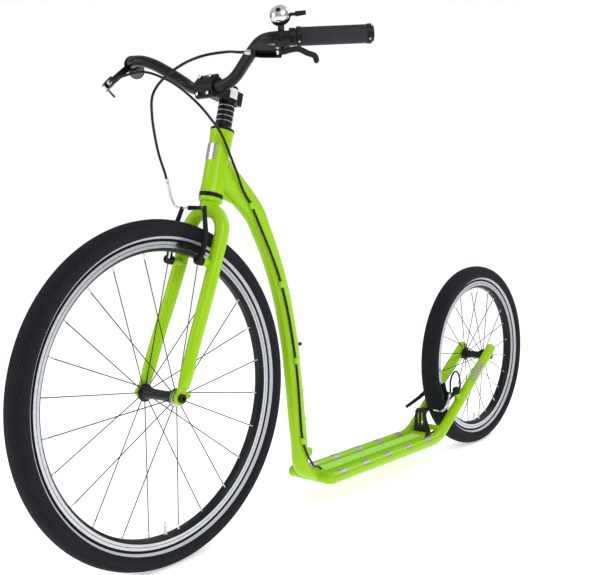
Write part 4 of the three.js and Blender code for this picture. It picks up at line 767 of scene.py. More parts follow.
def valve_piece(wheel, centre, radius):
    foot = centre - UPWARDS * (radius - CROWN_INWARDS)
    stem = lathe(
        f"{wheel}_valve_stem", [
            (0, -3), (4.6, -1.4), (4.6, 0.6), (3.2, 1.2), (3, 2), (3, 13), (2.4, 13.6), (0, 13.6),
        ], foot, UPWARDS, 20, 35,
    )
    cap = lathe(
        f"{wheel}_valve_cap", [
            (0, 13.7), (3, 13.7), (3.2, 14.3), (3.2, 20.5), (2.6, 22), (2.2, 23.6), (0, 24),
        ], foot, UPWARDS, 16, 35,
    )
    return stem, cap


def build_wheel(wheel, centre, flange, cap_length, plate_in, plate_out, bolt_length, axle_body):
    """One wheel. Its measures along the axle run from the middle out to one side."""
    radius = centre.z
    body = f"{wheel}_wheel"
    rubber = tyre_rubber(wheel, centre, radius - STRIPE_INWARDS, STRIPE_WIDTH)
    dress(tyre_piece(wheel, centre, radius), rubber, body, f"{wheel}_tyre")
    rim_piece(wheel, centre, radius)
    spokes, nipples = spoke_set(wheel, centre, radius, flange)
    dress(spokes, gloss_black, body)
    dress(nipples, bright, body)
    hub_piece(wheel, centre, flange, cap_length)
    stem, cap = valve_piece(wheel, centre, radius)
    dress(stem, bright, body)
    dress(cap, label, body)
    hub_face = flange + 1.5 + cap_length
    axle_piece(wheel, centre, hub_face, plate_in, plate_out, bolt_length, axle_body)


build_wheel(
    "front", front_axle, flange=42, cap_length=2.2, plate_in=50, plate_out=56, bolt_length=7,
    axle_body="steering",
)
build_wheel(
    "rear", rear_axle, flange=26, cap_length=6, plate_in=37, plate_out=43, bolt_length=12,
    axle_body="frame",
)


# ---- Head tube, headset and spacers ----

def turned_on_steering(name, profile, material, body, node):
    return dress(lathe(name, profile, steer_point, steer_up, 64, 30), material, body, node)


turned_on_steering("head_tube_shell", [
    (17.6, 4), (23.1, 4), (23.5, 4.5), (23.3, 8), (22.3, 14), (22, 18), (22, 115), (22.3, 119),
    (23.3, 125), (23.5, 128.5), (23.1, 129), (17.6, 129), (17.6, 4),
], lime, "frame", "head_tube")
turned_on_steering("lower_bearing_cup", [
    (17, -4), (22.7, -4), (23.5, -3.2), (23.5, 0.4), (22.9, 0.9), (22.9, 1.3), (23.4, 1.8),
    (23.4, 3.7), (17, 3.7), (17, -4),
], anodised, "frame", "headset_lower_cup")
turned_on_steering("upper_bearing_cup", [
    (14.8, 129.3), (23.3, 129.3), (23.5, 129.8), (23.5, 133), (22.9, 134), (20.4, 134.7),
    (17.6, 136.6), (16.3, 138.4), (16.1, 139), (14.8, 139), (14.8, 129.3),
], anodised, "frame", "headset_upper_cup")
LOWEST_SPACER = 139.3
SPACER_STEP = 9.94
for number in range(1, 6):
    low = LOWEST_SPACER + SPACER_STEP * (number - 1)
    spacer = turned_on_steering(f"spacer_ring_{number}", [
        (14.8, low), (15.5, low), (16.3, low + 0.7), (16.3, low + 8.9), (15.5, low + 9.64),
        (14.8, low + 9.64), (14.8, low),
    ], anodised, "steering", f"headset_spacer_{number}")
    # The chamfers are painted in bright metal: painted highlights where their edges catch the
    # light.
    paint_faces(spacer, turned_metal, lambda at, normal: 0.5 < abs(normal.dot(steer_up)) < 0.9)
turned_on_steering("steerer_and_crown_race", [
    (0, 214), (14.3, 214), (14.3, -4.3), (22.6, -4.3), (23.2, -5), (23.2, -11.4), (22.4, -12.3),
    (19.3, -13.4), (19, -15), (19, -29), (0, -30),
], lime, "steering", "steerer_tube")
from_cad("blank_head_badge", "head_badge", 0.25, bright, "frame")


# ---- Fork ----

CROWN_LEVEL = -75  # the centre of the crown's arch, along the steering axis
CROWN_RADIUS = 46
LEG_DROP = 299  # from the foot of the arch to the fork end
LEG_RAKE = 35.25  # how far the leg sweeps ahead on the way
LEG_SPREAD = 7
FORK_END_Y = CROWN_RADIUS + LEG_SPREAD
AXLE_LEVEL = -393
LEG_SHARES = [  # shares of the drop, the rake and the spread
    (0.13, 0.1, 0.1), (0.3, 0.25, 0.22), (0.48, 0.45, 0.4), (0.68, 0.7, 0.6), (0.85, 0.87, 0.8),
]
BLADE_RINGS = 56


def brake_stud(name, place, side, pivot_radius, boss_depth, body):
    """The boss that carries a brake arm, with the arm's bolt head as a piece of its own."""
    foot = place.point(-6.8 - boss_depth, side * BRAKE_SPREAD, pivot_radius)
    boss = lathe(f"{name}_boss", [
        (0, 0), (8, 0), (8, boss_depth - 0.8), (7.4, boss_depth), (4, boss_depth),
        (4, boss_depth + 13.4), (0, boss_depth + 13.4),
    ], foot, place.ahead, 32, 35)
    head_seat = foot + place.ahead * (boss_depth + 13.6)
    bolt_head(f"{name}_bolt", head_seat, place.ahead, 7.8, 3, gloss_black, body)
    return boss


def fork_blade(label_side):
    side = SIDES[label_side]
    path = [steered(0, 0.25 * side, -29)]
    path += [
        steered(0, side * CROWN_RADIUS * math.sin(a), CROWN_LEVEL + CROWN_RADIUS * math.cos(a))
        for a in [math.radians(9 * k) for k in range(1, 11)]
    ]
    path += [
        steered(LEG_RAKE * f, side * (CROWN_RADIUS + LEG_SPREAD * s), CROWN_LEVEL - LEG_DROP * d)
        for d, f, s in LEG_SHARES
    ]
    path += [steered(LEG_RAKE, side * FORK_END_Y, CROWN_LEVEL - LEG_DROP)]
    route = catmull(path, BLADE_RINGS)
    radii = []
    for k in range(BLADE_RINGS + 1):
        share = k / BLADE_RINGS
        radius = 14 - 1.5 * min(max((share - 0.2) / 0.6, 0), 1)
        near_end = min(max((share - 0.93) / 0.07, 0), 1)
        radii.append((radius - 1.2 * near_end, radius - 6.2 * near_end ** 1.5))
    blade = sweep(f"fork_blade_{label_side}_tube", route, radii, 32, across=steer_ahead)
    arc = [math.radians(a) for a in range(40, -221, -20)]
    outline = [(45.2, -360)]
    outline += [(40 + 13 * math.cos(a), AXLE_LEVEL + 13 * math.sin(a)) for a in arc]
    outline += [(26.6, -360)]
    dropout = plate(
        f"fork_end_{label_side}", [steered(x, side * FORK_END_Y, z) for x, z in outline],
        LEFTWARDS * 6, 0.8,
    )
    eyelet = lathe(
        f"mudguard_eye_{label_side}",
        [(2.6, -2.8), (5.6, -2.8), (6, -2.3), (6, 2.3), (5.6, 2.8), (2.6, 2.8), (2.6, -2.8)],
        steered(22, side * FORK_END_Y, -386), LEFTWARDS, 28,
    )
    boss = brake_stud(
        f"front_brake_{label_side}", front_brake, side, FRONT_PIVOT_RADIUS, 33.2, "steering"
    )
    whole = join(f"fork_blade_{label_side}_shell", blade, dropout, eyelet, boss)
    dress(whole, lime, "steering", f"fork_blade_{label_side}")


for label_side in SIDES:
    fork_blade(label_side)
bolt_head("crown_bolt", steered(13.2, 0, -30), steer_ahead, 4, 3.4, gloss_black, "steering")


# ---- Main tube with its guides, bosses, peg and lug ----

TUBE_FOOT = Vector((89, 0, 67))
TUBE_REACH = 278
TUBE_RISE = 678
TUBE_RINGS = 96
TUBE_SHARES = [  # shares of the reach and the rise, from the head down
    (1, 1), (0.651, 0.869), (0.579, 0.816), (0.514, 0.765), (0.451, 0.706), (0.41, 0.662),
    (0.356, 0.593), (0.309, 0.506), (0.277, 0.437), (0.259, 0.371), (0.237, 0.297), (0.216, 0.203),
    (0.194, 0.1235), (0.19, 0.078), (0.176, 0.05), (0.135, 0.03), (0.065, 0.0125), (0, 0),
]
TUBE_DEPTHS = [62, 49.2, 44.4, 41.1] + [40] * 8 + [36.5, 33, 30.2, 28.1, 26.4, 26]
TUBE_WIDTHS = [36] * 12 + [37, 38.5, 40, 41.5, 42, 42]
GUIDES = [(299, 21, 673), (212.5, 19.4, 508.6), (171.5, 19.6, 341.5), (154.2, 20, 162.6)]


def smoothed_sizes(places, values, count):
    """Sizes given at the points of a path, read in the same equal steps as the smooth route."""
    reach = lengths_along(places)
    sizes = []
    for step in range(count + 1):
        want = reach[-1] * step / count
        k = max(i for i in range(len(reach) - 1) if reach[i] <= want)
        share = (want - reach[k]) / (reach[k + 1] - reach[k])
        sizes.append(values[k] + (values[k + 1] - values[k]) * min(share, 1))
    return sizes


tube_points = [
    Vector((TUBE_FOOT.x + TUBE_REACH * f, 0, TUBE_FOOT.z + TUBE_RISE * h)) for f, h in TUBE_SHARES
]
tube_route = catmull(tube_points, TUBE_RINGS)
tube_sizes = [
    (w / 2, d / 2) for w, d in zip(
        smoothed_sizes(tube_points, TUBE_WIDTHS, TUBE_RINGS),
        smoothed_sizes(tube_points, TUBE_DEPTHS, TUBE_RINGS),
    )
]
tube = sweep("main_tube_shell", tube_route, tube_sizes, 40, across=LEFTWARDS)
fittings = [tube]
for k, place in enumerate(GUIDES):
    way = Vector(GUIDES[min(k + 1, 3)]) - Vector(GUIDES[max(k - 1, 0)])
    fittings.append(lathe(
        f"cable_guide_{k}",
        [(3.2, -7), (4.6, -7), (5, -6.4), (5, 6.4), (4.6, 7), (3.2, 7), (3.2, -7)],
        place, way.normalized(), 24,
    ))
FITTING_RADIUS = 4.5
for k, (x, z) in enumerate([(128, 268), (121, 202)]):
    fittings.append(lathe(
        f"tube_fitting_{k}",
        [
            (1.6, 3), (1.6, 0.5), (2.2, 0), (FITTING_RADIUS - 0.5, 0), (FITTING_RADIUS, 0.5),
            (FITTING_RADIUS, 30), (0, 30), (0, 3), (1.6, 3),
        ],
        (x, 0, z), AHEAD, 24,
    ))
lug_arc = [math.radians(a) for a in range(100, 301, 20)]
lug_outline = [(142, 0, 143)] + [
    (110 + 10 * math.cos(a), 0, 126 + 10 * math.sin(a)) for a in lug_arc
] + [(144, 0, 112)]
fittings.append(plate("stand_lug", lug_outline, LEFTWARDS * 6, 0.7))
whole_tube = join("main_tube_with_fittings", *fittings)
dress(whole_tube, lime, "frame", "main_tube")
peg = lathe("threaded_peg", [
    (0, 0), (3.4, 0), (4, 0.6), (4, 4), (3.5, 4.4), (4, 4.8), (4, 8.4), (2.8, 9), (2.8, 20),
    (0, 20),
], (130.5, 0, 371), AHEAD, 24)
dress(peg, gloss_black, "frame")
from_cad("head_gusset_plate", "head_gusset", 0.8, lime, "frame")


# ---- Deck, crossbar, rails and bridge ----

AXIS_LEVEL = 67  # the rails' and the crossbar's middle, above the ground
RAIL_Y = 44
RAIL_RADIUS = 13.6
STAY_LENGTH = 348.6  # from the corner of the bend to the stay's end
STAY_DOME = 5.4
BEND_RADIUS = 110
BEND_STEPS = 14
STAY_STEPS = 10
STAY_ANGLE = math.radians(35.6)
corner = Vector((-355.8, 0, AXIS_LEVEL))
bend_reach = BEND_RADIUS * math.tan(STAY_ANGLE / 2)
stay_way = Vector((-math.cos(STAY_ANGLE), 0, math.sin(STAY_ANGLE)))


def deck_rail(label_side):
    side = SIDES[label_side]
    y = RAIL_Y * side
    path = [Vector((x, y, AXIS_LEVEL)) for x in (71.7, 60, 0, -100, -200, -290)]
    radii = [RAIL_RADIUS] * len(path)
    centre = corner + Vector((bend_reach, y, BEND_RADIUS))
    bend = [STAY_ANGLE * k / BEND_STEPS for k in range(BEND_STEPS + 1)]
    path += [centre + Vector((-math.sin(a), 0, -math.cos(a))) * BEND_RADIUS for a in bend]
    radii += [RAIL_RADIUS - 0.4 * k / BEND_STEPS for k in range(BEND_STEPS + 1)]
    stay_end = corner + Vector((0, y, 0)) + stay_way * STAY_LENGTH
    stay_start = path[-1]
    path += [stay_start.lerp(stay_end, k / STAY_STEPS) for k in range(1, STAY_STEPS)]
    radii += [13.2 - 0.5 * k / STAY_STEPS for k in range(1, STAY_STEPS)]
    dome = [math.radians(a) for a in (0, 25, 50, 72, 88)]
    path += [stay_end - stay_way * STAY_DOME * (1 - math.sin(a)) for a in dome]
    radii += [12.7 * (0.25 + 0.75 * math.cos(a)) for a in dome[:-1]] + [2.6]
    bar = sweep(f"deck_rail_{label_side}_bar", path, radii, 36, across=LEFTWARDS)
    outer = 43 if side > 0 else -37
    disc = lathe(
        f"rear_end_{label_side}", [(0, 0), (14.4, 0), (15, 0.7), (15, 5.3), (14.4, 6), (0, 6)],
        rear_axle + LEFTWARDS * (outer - 6), LEFTWARDS, 48,
    )
    boss = brake_stud(
        f"rear_brake_{label_side}", rear_brake, -side, REAR_PIVOT_RADIUS, 31, "frame"
    )
    whole = join(f"deck_rail_{label_side}_shell", bar, disc, boss)
    dress(whole, lime, "frame", f"deck_rail_{label_side}")
    for number, x in enumerate((52, -35, -124, -210, -298)):
        patch = wrapped_patch(
            f"reflective_patch_{label_side}_{number}", Vector((x, y, AXIS_LEVEL)), AHEAD,
            UPWARDS + LEFTWARDS * 0.25, RAIL_RADIUS, half_length=11, half_angle=0.85,
        )
        dress(patch, film, "frame")
    outwards = Vector((math.sin(STAY_ANGLE), 0.9 * side, math.cos(STAY_ANGLE)))
    strip = wrapped_patch(
        f"stay_strip_{label_side}", corner + Vector((0, y, 0)) + stay_way * 240, stay_way, outwards,
        12.95, half_length=34, half_angle=0.42,
    )
    dress(strip, film, "frame")


for label_side in SIDES:
    deck_rail(label_side)

CROSSBAR_X = 89
CORNER_RADIUS = 7
quarter = [math.radians(a) for a in range(0, 91, 10)]
half_bar = [Vector((72, RAIL_Y, AXIS_LEVEL))]
half_bar += [Vector((
    CROSSBAR_X - CORNER_RADIUS + CORNER_RADIUS * math.sin(a),
    RAIL_Y - CORNER_RADIUS + CORNER_RADIUS * math.cos(a), AXIS_LEVEL,
)) for a in quarter]
half_bar += [Vector((CROSSBAR_X, y, AXIS_LEVEL)) for y in (20, 10, 0)]
crossbar_path = half_bar + [Vector((p.x, -p.y, p.z)) for p in reversed(half_bar[:-1])]
crossbar = sweep(
    "front_crossbar_tube", crossbar_path, [RAIL_RADIUS] * len(crossbar_path), 36, across=UPWARDS
)
side_boss = lathe(
    "crossbar_side_boss", [(0, 0), (13, 0), (13, 22.4), (12.2, 24.6), (9.6, 26), (0, 26)],
    (CROSSBAR_X, -RAIL_Y, AXIS_LEVEL), -LEFTWARDS, 40,
)
dress(join("front_crossbar_shell", crossbar, side_boss), lime, "frame", "front_crossbar")

beam = plate("deck_beam_shell", [
    (75.1, 0, 56), (75.1, 0, 77.4), (-326.9, 0, 77.4), (-370.2, 0, 90), (-370.2, 0, 85),
    (-339.4, 0, 74), (-326.9, 0, 56),
], LEFTWARDS * 34, 1.5)
dress(beam, lime, "frame", "deck_beam")


def ribbed_top():
    """The ribbed face of the beam: a long grid whose every second strip is raised."""
    low, high = -326, 70
    ribs = 132
    width = (high - low) / (2 * ribs)
    piece = primitive(
        "ribbed_deck_top", bpy.ops.mesh.primitive_grid_add, x_subdivisions=2 * ribs,
        y_subdivisions=1, size=2,
    )
    for vertex in piece.data.vertices:
        x = (low + high) / 2 + vertex.co.x * (high - low) / 2
        vertex.co = Vector((x, 15.2 * vertex.co.y, 77.5)) * MM
    raise_faces(
        piece, lambda face: int((face.calc_center_median().x / MM - low) / width) % 2 == 0, 0.3, 0.5
    )
    return leave_editing(piece, 20)


# The ribbed top wears the frame's lime painted paler: painted light where it faces up.
dress(ribbed_top(), lime_with_painted_top_light, "frame")
bridge = lathe(
    "rear_bridge_tube", [(0, -36.5), (7.5, -36.5), (7.5, 36.5), (0, 36.5)],
    (-378, 0, 88), LEFTWARDS, 36,
)
dress(bridge, lime, "frame", "rear_bridge")
from_cad("heel_guard_shell", "heel_guard", 0.7, nylon, "frame")


# ---- Stem, handlebar and grips ----

BAR_CENTRE = (54.3, 199)  # the bar's middle: ahead of the steering axis, and up along it
from_cad("stem_casting", "stem_body", 1.2, anodised, "steering")
from_cad("stem_front_plate", "stem_faceplate", 0.9, anodised, "steering")
stem_label = wrapped_patch(
    "blank_stem_label", steered(0, 0, 204), steer_up, LEFTWARDS + steer_ahead * 0.2, 18.5,
    half_length=10, half_angle=0.55,
)
dress(stem_label, label, "steering")
from_cad("stem_top_cap", "stem_cap", 0.6, anodised, "steering")
FACEPLATE_FRONT = 69.42  # ahead of the steering axis
for y, column in ((-14, "right"), (14, "left")):
    for z, row in ((-17, "lower"), (17, "upper")):
        bolt_head(
            f"faceplate_bolt_{column}_{row}", steered(FACEPLATE_FRONT, y, BAR_CENTRE[1] + z),
            steer_ahead, 3.5, 1.6, bright, "steering",
        )

BAR_REACH = 43
BAR_HALF_WIDTH = 315
BAR_RISE = 94.4
BAR_SHARES = [  # shares of the half width, the reach and the rise
    (0.108, 0, 0), (0.165, -0.03, 0.06), (0.22, 0.02, 0.165), (0.33, 0.38, 0.361),
    (0.43, 0.72, 0.514), (0.5, 0.93, 0.576), (0.555, 1, 0.595), (0.605, 0.93, 0.609),
]
GRIP_INNER = (72.26, 220, 263.6)
GRIP_OUTER = (-15, 315, 293.4)


def grip_ends(side):
    inner, outer = (steered(x, y * side, z) for x, y, z in (GRIP_INNER, GRIP_OUTER))
    return inner, outer, (outer - inner).normalized()


def bar_half(side):
    inner, outer, way = grip_ends(side)
    x, z = BAR_CENTRE
    points = [steered(x, side * y, z) for y in (0, 12, 24)]
    points += [
        steered(x + BAR_REACH * f, side * BAR_HALF_WIDTH * w, z + BAR_RISE * h)
        for w, f, h in BAR_SHARES
    ]
    return points + [inner - way * 10, inner, inner.lerp(outer, 0.5), outer]


bar_route = catmull([*reversed(bar_half(-1)[1:]), *bar_half(1)], 150)
# The bar swells where the stem clamps it.
bar_radii = [11.1 + 1.6 * min(max((31 - abs(p.y)) / 6, 0), 1) for p in bar_route]
handlebar = sweep("handlebar_tube", bar_route, bar_radii, 32)
dress(handlebar, gloss_black, "steering", "handlebar")

for label_side, side in SIDES.items():
    inner, outer, way = grip_ends(side)
    length = (outer - inner).length
    grip = lathe(f"grip_{label_side}_sleeve", [
        (11.4, 0), (16.9, 0), (17.4, 0.6), (17.4, 7.4), (16.9, 8), (15.9, 8.3), (16.2, 10),
        (16.2, length - 10), (15.9, length - 8.3), (16.9, length - 8), (17.4, length - 7.4),
        (17.4, length - 0.6), (16.9, length), (14, length + 0.2), (14, length + 3),
        (12.6, length + 4), (0, length + 4), (0, length - 2), (11.4, length - 2), (11.4, 0),
    ], inner, way, 48)
    dress(grip, soft_rubber, "steering", f"grip_{label_side}")
    # A clamp ring at each end of the grip.
    paint_faces(
        grip, anodised, lambda at, normal: not 8.2 < (at - inner).dot(way) < length - 8.2
    )
    down = steer_ahead * 0.9 - steer_up
    down = (down - way * down.dot(way)).normalized()
    for number, reach in enumerate((4, length - 4)):
        bolt_head(
            f"grip_screw_{label_side}_{number}", inner + way * reach + down * 16.4, down, 2, 1.2,
            bright, "steering",
        )


# ---- Brake levers ----

LEVER_LENGTH = 64.5
BLADE_SHARES = [
    (0, 0, 0), (0.15, 0.02, 0), (0.3, 0.045, 0.034), (0.54, 0.075, 0.054), (0.78, 0.12, -0.08),
    (0.96, 0.15, -0.17), (1, 0.16, -0.3), (1.01, 0.165, -0.38),
]
BLADE_STEPS = 40
lever_axes = {  # outwards along each lever, and from its pivot to the bar
    "left": (Vector((-0.527445, 0.848275, -0.047235)), Vector((-0.725307, -0.420639, 0.54497))),
    "right": (Vector((-0.527445, -0.848275, -0.047235)), Vector((-0.653211, 0.369351, 0.660981))),
}
cable_starts = {}
for label_side in SIDES:
    outwards, to_bar = lever_axes[label_side]
    pivot = pivot_of(f"brake_lever_{label_side}_pull")
    over = axis_of(f"brake_lever_{label_side}_pull")
    if label_side == "right":
        over = -over
    from_cad(f"lever_body_{label_side}", f"lever_clamp_{label_side}", 0.9, anodised, "steering")
    points = [
        pivot + (outwards * a + to_bar * b + over * c) * LEVER_LENGTH for a, b, c in BLADE_SHARES
    ]
    route = catmull([points[0] - outwards * 4, *points], BLADE_STEPS)
    sizes = []
    for k in range(BLADE_STEPS + 1):
        share = k / BLADE_STEPS
        tip = min(max((share - 0.93) / 0.07, 0), 1)
        sizes.append((5.1 - 2.6 * tip ** 2, 3.1 - 1.1 * min(share / 0.6, 1) - 0.9 * tip ** 2))
    blade = sweep(f"lever_blade_{label_side}", route, sizes, 28, across=over, squareness=0.7)
    dress(blade, anodised, f"brake_lever_{label_side}", f"brake_lever_{label_side}")
    seat = pivot - outwards * 46.4 - to_bar
    adjuster = lathe(f"barrel_adjuster_{label_side}", [
        (0, 0), (3.4, 0), (3.4, 1.2), (4.5, 1.6), (4.5, 3), (4.1, 3.4), (4.5, 3.8), (4.5, 5.2),
        (4.1, 5.6), (4.5, 6), (4.5, 7.6), (3.7, 8.4), (3.7, 11), (2.6, 11), (0, 11),
    ], seat, -outwards, 28)
    dress(adjuster, bright, "steering", f"cable_adjuster_{label_side}")
    pin = lathe(f"lever_pin_{label_side}", [
        (0, -8), (3.2, -8), (3.4, -7.6), (3.4, 7.6), (3.2, 8), (0, 8),
    ], pivot, over, 24)
    dress(pin, bright, "steering")
    cable_starts[label_side] = (seat - outwards * 10.6, -outwards)


# ---- Bell ----

bell_centre = pivot_of("bell_trigger_push")
bell_axis = -axis_of("bell_trigger_push")
dome = lathe("bell_dome_shell", [
    (0, 12.9), (4, 12.9), (9, 11.5), (12.8, 9.1), (15.3, 6), (16.7, 2.8), (17.1, 0.2), (17.5, 0),
    (18, 0.3), (18, 1.4), (17.7, 3.2), (16.9, 5.2), (15.6, 7.4), (13.6, 9.7), (11, 11.7),
    (7.8, 13.2), (4.2, 14), (0, 14.2),
], bell_centre, bell_axis, 64, 30)
dress(dome, chrome, "steering", "bell_dome")
dome_cap = lathe("bell_dome_cap", [
    (0, 13.6), (4.2, 13.6), (4.5, 14), (4.3, 14.7), (3.4, 15), (0, 15),
], bell_centre, bell_axis, 32)
dress(dome_cap, nylon, "steering")
from_cad("bell_base_clamp", "bell_base", 0.5, nylon, "steering")
from_cad("bell_thumb_lever", "bell_trigger", 0.6, nylon, "bell_trigger")


# ---- Brakes ----

ARM_LENGTH = 101.6  # from an arm's pivot out to the cable
NOODLE_STEPS = 44
# For each brake: its place, the side with the noodle, the pivots' radius, how much bare wire shows,
# and the noodle's route (along the pivots, sideways and outwards from the arm's top).
NOODLES = {
    "front": (front_brake, "right", FRONT_PIVOT_RADIUS, 36.3, [
        (0, 12, 0), (0, 24, 0), (0, 38, 0), (4, 46, 3), (14, 50, 14), (24, 50, 30), (34, 50, 46),
    ]),
    "rear": (rear_brake, "left", REAR_PIVOT_RADIUS, 75.3, [
        (0, 30, 0), (0, 40, 0), (0, 52, 0), (2, 59, -4), (8, 62, -14), (15, 61, -29), (22, 57, -46),
    ]),
}
BOOT_LENGTH = 33
BOOT_FOLDS = 7
noodle_tips = {}
for label_end, (place, noodle_side, pivot_radius, wire_reach, points) in NOODLES.items():
    for label_side in SIDES:
        body = f"{label_end}_brake_{label_side}"
        for kind, rounding, material in (("arm", 0.8, anodised), ("pad", 0.6, dull_rubber)):
            node = f"{label_end}_brake_{kind}_{label_side}"
            from_cad(f"{label_end}_{kind}_{label_side}", node, rounding, material, body)
    body = f"{label_end}_brake_{noodle_side}"
    bend = [place.point(x, -y, pivot_radius + ARM_LENGTH + out) for x, y, out in points]
    tip_way = (bend[-1] - bend[-2]).normalized()
    noodle_tips[label_end] = (bend[-1], tip_way)
    route = catmull(bend, NOODLE_STEPS)
    pipe = sweep(f"{label_end}_noodle_pipe", route, [2.4] * len(route), 20)
    ferrule = lathe(f"{label_end}_noodle_ferrule", [
        (0, -7), (2.9, -7), (3.3, -6.4), (3.3, 2.4), (2.6, 3), (0, 3),
    ], bend[-1], tip_way, 24)
    dress(join(f"{label_end}_noodle_bend", pipe, ferrule), bright, body, f"{label_end}_noodle")
    seat, way = bend[0], (bend[0] - bend[1]).normalized()
    folds = [(1.3, 0.3), (4.6, 0.3)]
    for k in range(BOOT_FOLDS):
        wide = 4.6 - 0.9 * k / BOOT_FOLDS
        folds += [(wide, 1.2 + 3.4 * k), (wide - 1.3, 2.9 + 3.4 * k)]
    folds += [(3.6, 25), (3.6, 31), (3.2, BOOT_LENGTH), (1.3, BOOT_LENGTH), (1.3, 0.3)]
    boot = lathe(f"{label_end}_boot_bellows", folds, seat, way, 28, 50)
    dress(boot, dull_rubber, body, f"{label_end}_cable_boot")
    # The arms close on the front boot and fold it up, so it gets a mesh of its own, though nothing
    # here folds it; the rear brake has room for its own.
    if label_end == "front":
        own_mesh(boot)
    wire = lathe(
        f"{label_end}_bare_wire", [(0, 0.4), (1.2, 0.4), (1.2, wire_reach), (0, wire_reach)],
        seat, way, 12,
    )
    dress(wire, bright, body)
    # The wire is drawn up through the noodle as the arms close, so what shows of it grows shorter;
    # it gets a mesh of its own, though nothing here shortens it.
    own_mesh(wire)


# ---- Cables ----

CABLE_RADIUS = 2.5


def cable(name, points, count, node, body):
    """A housing that rides one body. Given a tuple (first, second, start, end) in its place, it
    rides none and stays as drawn; the tuple's entries are not used.
    """
    piece = sweep(name, catmull(points, count), [CABLE_RADIUS] * (count + 1), 14, smooth_angle=60)
    if isinstance(body, str):
        dress(piece, sleeve, body, node)
        return
    piece.data.materials.append(sleeve)
    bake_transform(piece)
    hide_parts(node)


start, way = cable_starts["left"]
tip, tip_way = noodle_tips["front"]
front_points = [start, start + way * 12]
front_points += [steered(*p) for p in [
    (147, 132, 216), (164, 92, 207), (188, 72, 185), (205, 45, 153), (196, 14, 130), (174, -5, 102),
    (124, -30, 51),
]]
front_points += [tip + tip_way * 11, tip + tip_way * 0.6]
cable(
    "front_brake_cable", front_points, 110, "front_cable",
    ("steering", "front_brake_right", front_points[-5], front_points[-1]),
)

start, way = cable_starts["right"]
first_guide = Vector(GUIDES[0])
bar_points = [start, start + way * 12] + [Vector(p) for p in [
    (440, -130, 936), (422, -85, 920), (416, -50, 900), (408, -5, 863), (397, 18, 832),
    (389, 25, 817), (379, 28, 798), (366, 30, 770), (346, 28, 736), (326, 24, 703),
]] + [first_guide]
cable(
    "rear_brake_cable_upper", bar_points, 100, "rear_cable_bar_run",
    ("steering", "frame", Vector((408, -5, 863)), Vector((326, 24, 703))),
)
frame_points = [Vector(p) for p in GUIDES] + [Vector(p) for p in [
    (150, 23, 144), (143, 24.5, 127), (129, 22, 111), (113, 14, 98), (94, 6, 90), (80, 1, 85),
    (70, 0, 79), (61, 0, 72),
]]
cable("rear_brake_cable_lower", frame_points, 150, "rear_cable_frame_run", "frame")
tip, tip_way = noodle_tips["rear"]
loop_points = [tip + tip_way * 0.6, tip + tip_way * 11] + [Vector(p) for p in [
    (-420, 44, 205), (-431, 42, 218), (-443, 41, 226), (-456, 40, 226), (-470, 38, 218),
    (-483, 35, 198), (-490, 31, 177), (-488, 27.6, 160), (-476, 27.3, 140), (-452, 27.2, 117),
    (-424, 25, 97), (-395, 17, 79), (-365, 8, 69), (-345, 3, 66), (-326, 1, 65),
]]
# The loop would bend only beside the tyre, near the noodle, and stay with the frame below that;
# here it rides no body and does not bend.
cable(
    "rear_brake_cable_loop", loop_points, 110, "rear_cable_loop",
    ("rear_brake_left", "frame", Vector((-440, 54, 180)), Vector((-440, 27.5, 180))),
)


# ---- Stage, light and camera ----

WHITE = (1, 1, 1, 1)
GROUND_GLOW = 0.2  # what the world gives the object from below, and from above
SKY_GLOW = 0.62
LIGHT_AIM = Vector((0, 0, 0.45))
SOFTBOXES = [  # name, place in metres, watts and side in metres
    ("key_softbox", (1.4, 2.6, 2.6), 40, 1.8),
    ("side_softbox", (2.6, -1.4, 1.6), 15, 1.4),
    ("back_softbox", (-2.2, 0.6, 2.4), 22, 1.6),
]


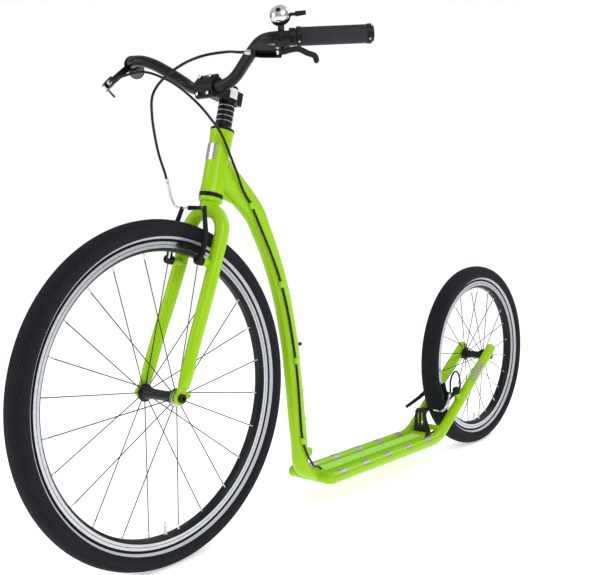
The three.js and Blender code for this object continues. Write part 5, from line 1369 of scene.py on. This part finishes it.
def studio():
    deselect()
    bpy.ops.mesh.primitive_plane_add(size=60, location=(0, 0, -0.0005))
    floor = bpy.context.object
    floor.name = "studio_floor"
    # Seamless paper: matt white, bright of itself so that only soft shadows show on it.
    paper = finish(
        "white_seamless_paper", None, "#ffffff", 0.95, (400, 2, "#fafafa", "#ffffff"),
        Emission_Color=WHITE, Emission_Strength=0.5, Specular_IOR_Level=0.0,
    )
    floor.data.materials.append(paper)
    world = bpy.context.scene.world or bpy.data.worlds.new("studio")
    bpy.context.scene.world = world
    world.use_nodes = True
    tree = world.node_tree
    background = tree.nodes["Background"]
    place = add(tree, "TexCoord", {})
    parts = add(tree, "SeparateXYZ", {"Vector": place.outputs["Generated"]})
    height = add(
        tree, "MapRange",
        {"From Min": -0.1, "From Max": 0.8, "To Min": GROUND_GLOW, "To Max": SKY_GLOW,
        "Value": parts.outputs["Z"]},
    )
    path = add(tree, "LightPath", {})
    level = add(
        tree, "Mix", {"data_type": "FLOAT", 3: 1.0,
        "Factor": path.outputs["Is Camera Ray"], 2: height.outputs["Result"]},
    )
    background.inputs["Color"].default_value = WHITE
    tree.links.new(level.outputs[0], background.inputs["Strength"])
    for name, place, watts, size in SOFTBOXES:
        deselect()
        bpy.ops.object.light_add(type="AREA", location=place)
        light = bpy.context.object
        light.name = name
        light.data.energy = watts
        light.data.shape = "SQUARE"
        light.data.size = size
        aim = LIGHT_AIM - Vector(place)
        light.visible_camera = False
        light.rotation_euler = aim.to_track_quat("-Z", "Y").to_euler()


CAMERA_PLACE = Vector((1.7025, 1.3207, 0.6737))
CAMERA_YAW = math.radians(220.275)
CAMERA_PITCH = math.radians(-6.345)
CAMERA_ROLL = math.radians(-1.218)
PHOTO_WIDTH = 599
PHOTO_HEIGHT = 575
FOCAL_PIXELS = 952.4
CENTRE_PIXEL = (296.1, 309.8)
SENSOR_WIDTH = 36


def photo_camera():
    forward = Vector((
        math.cos(CAMERA_YAW) * math.cos(CAMERA_PITCH),
        math.sin(CAMERA_YAW) * math.cos(CAMERA_PITCH), math.sin(CAMERA_PITCH),
    ))
    right = forward.cross(UPWARDS).normalized()
    up = right.cross(forward)
    tilted_right = right * math.cos(CAMERA_ROLL) + up * math.sin(CAMERA_ROLL)
    tilted_up = up * math.cos(CAMERA_ROLL) - right * math.sin(CAMERA_ROLL)
    data = bpy.data.cameras.new("photo_camera")
    camera = bpy.data.objects.new("photo_camera", data)
    bpy.context.collection.objects.link(camera)
    turn = Matrix((tilted_right, tilted_up, -forward)).transposed().to_4x4()
    camera.matrix_world = Matrix.Translation(CAMERA_PLACE) @ turn
    data.sensor_fit = "HORIZONTAL"
    data.sensor_width = SENSOR_WIDTH
    data.lens = FOCAL_PIXELS / PHOTO_WIDTH * SENSOR_WIDTH
    data.shift_x = (PHOTO_WIDTH / 2 - CENTRE_PIXEL[0]) / PHOTO_WIDTH
    data.shift_y = (CENTRE_PIXEL[1] - PHOTO_HEIGHT / 2) / PHOTO_WIDTH
    data.clip_end = 200
    bpy.context.scene.camera = camera


studio()
photo_camera()
bpy.context.scene.view_settings.view_transform = "Standard"
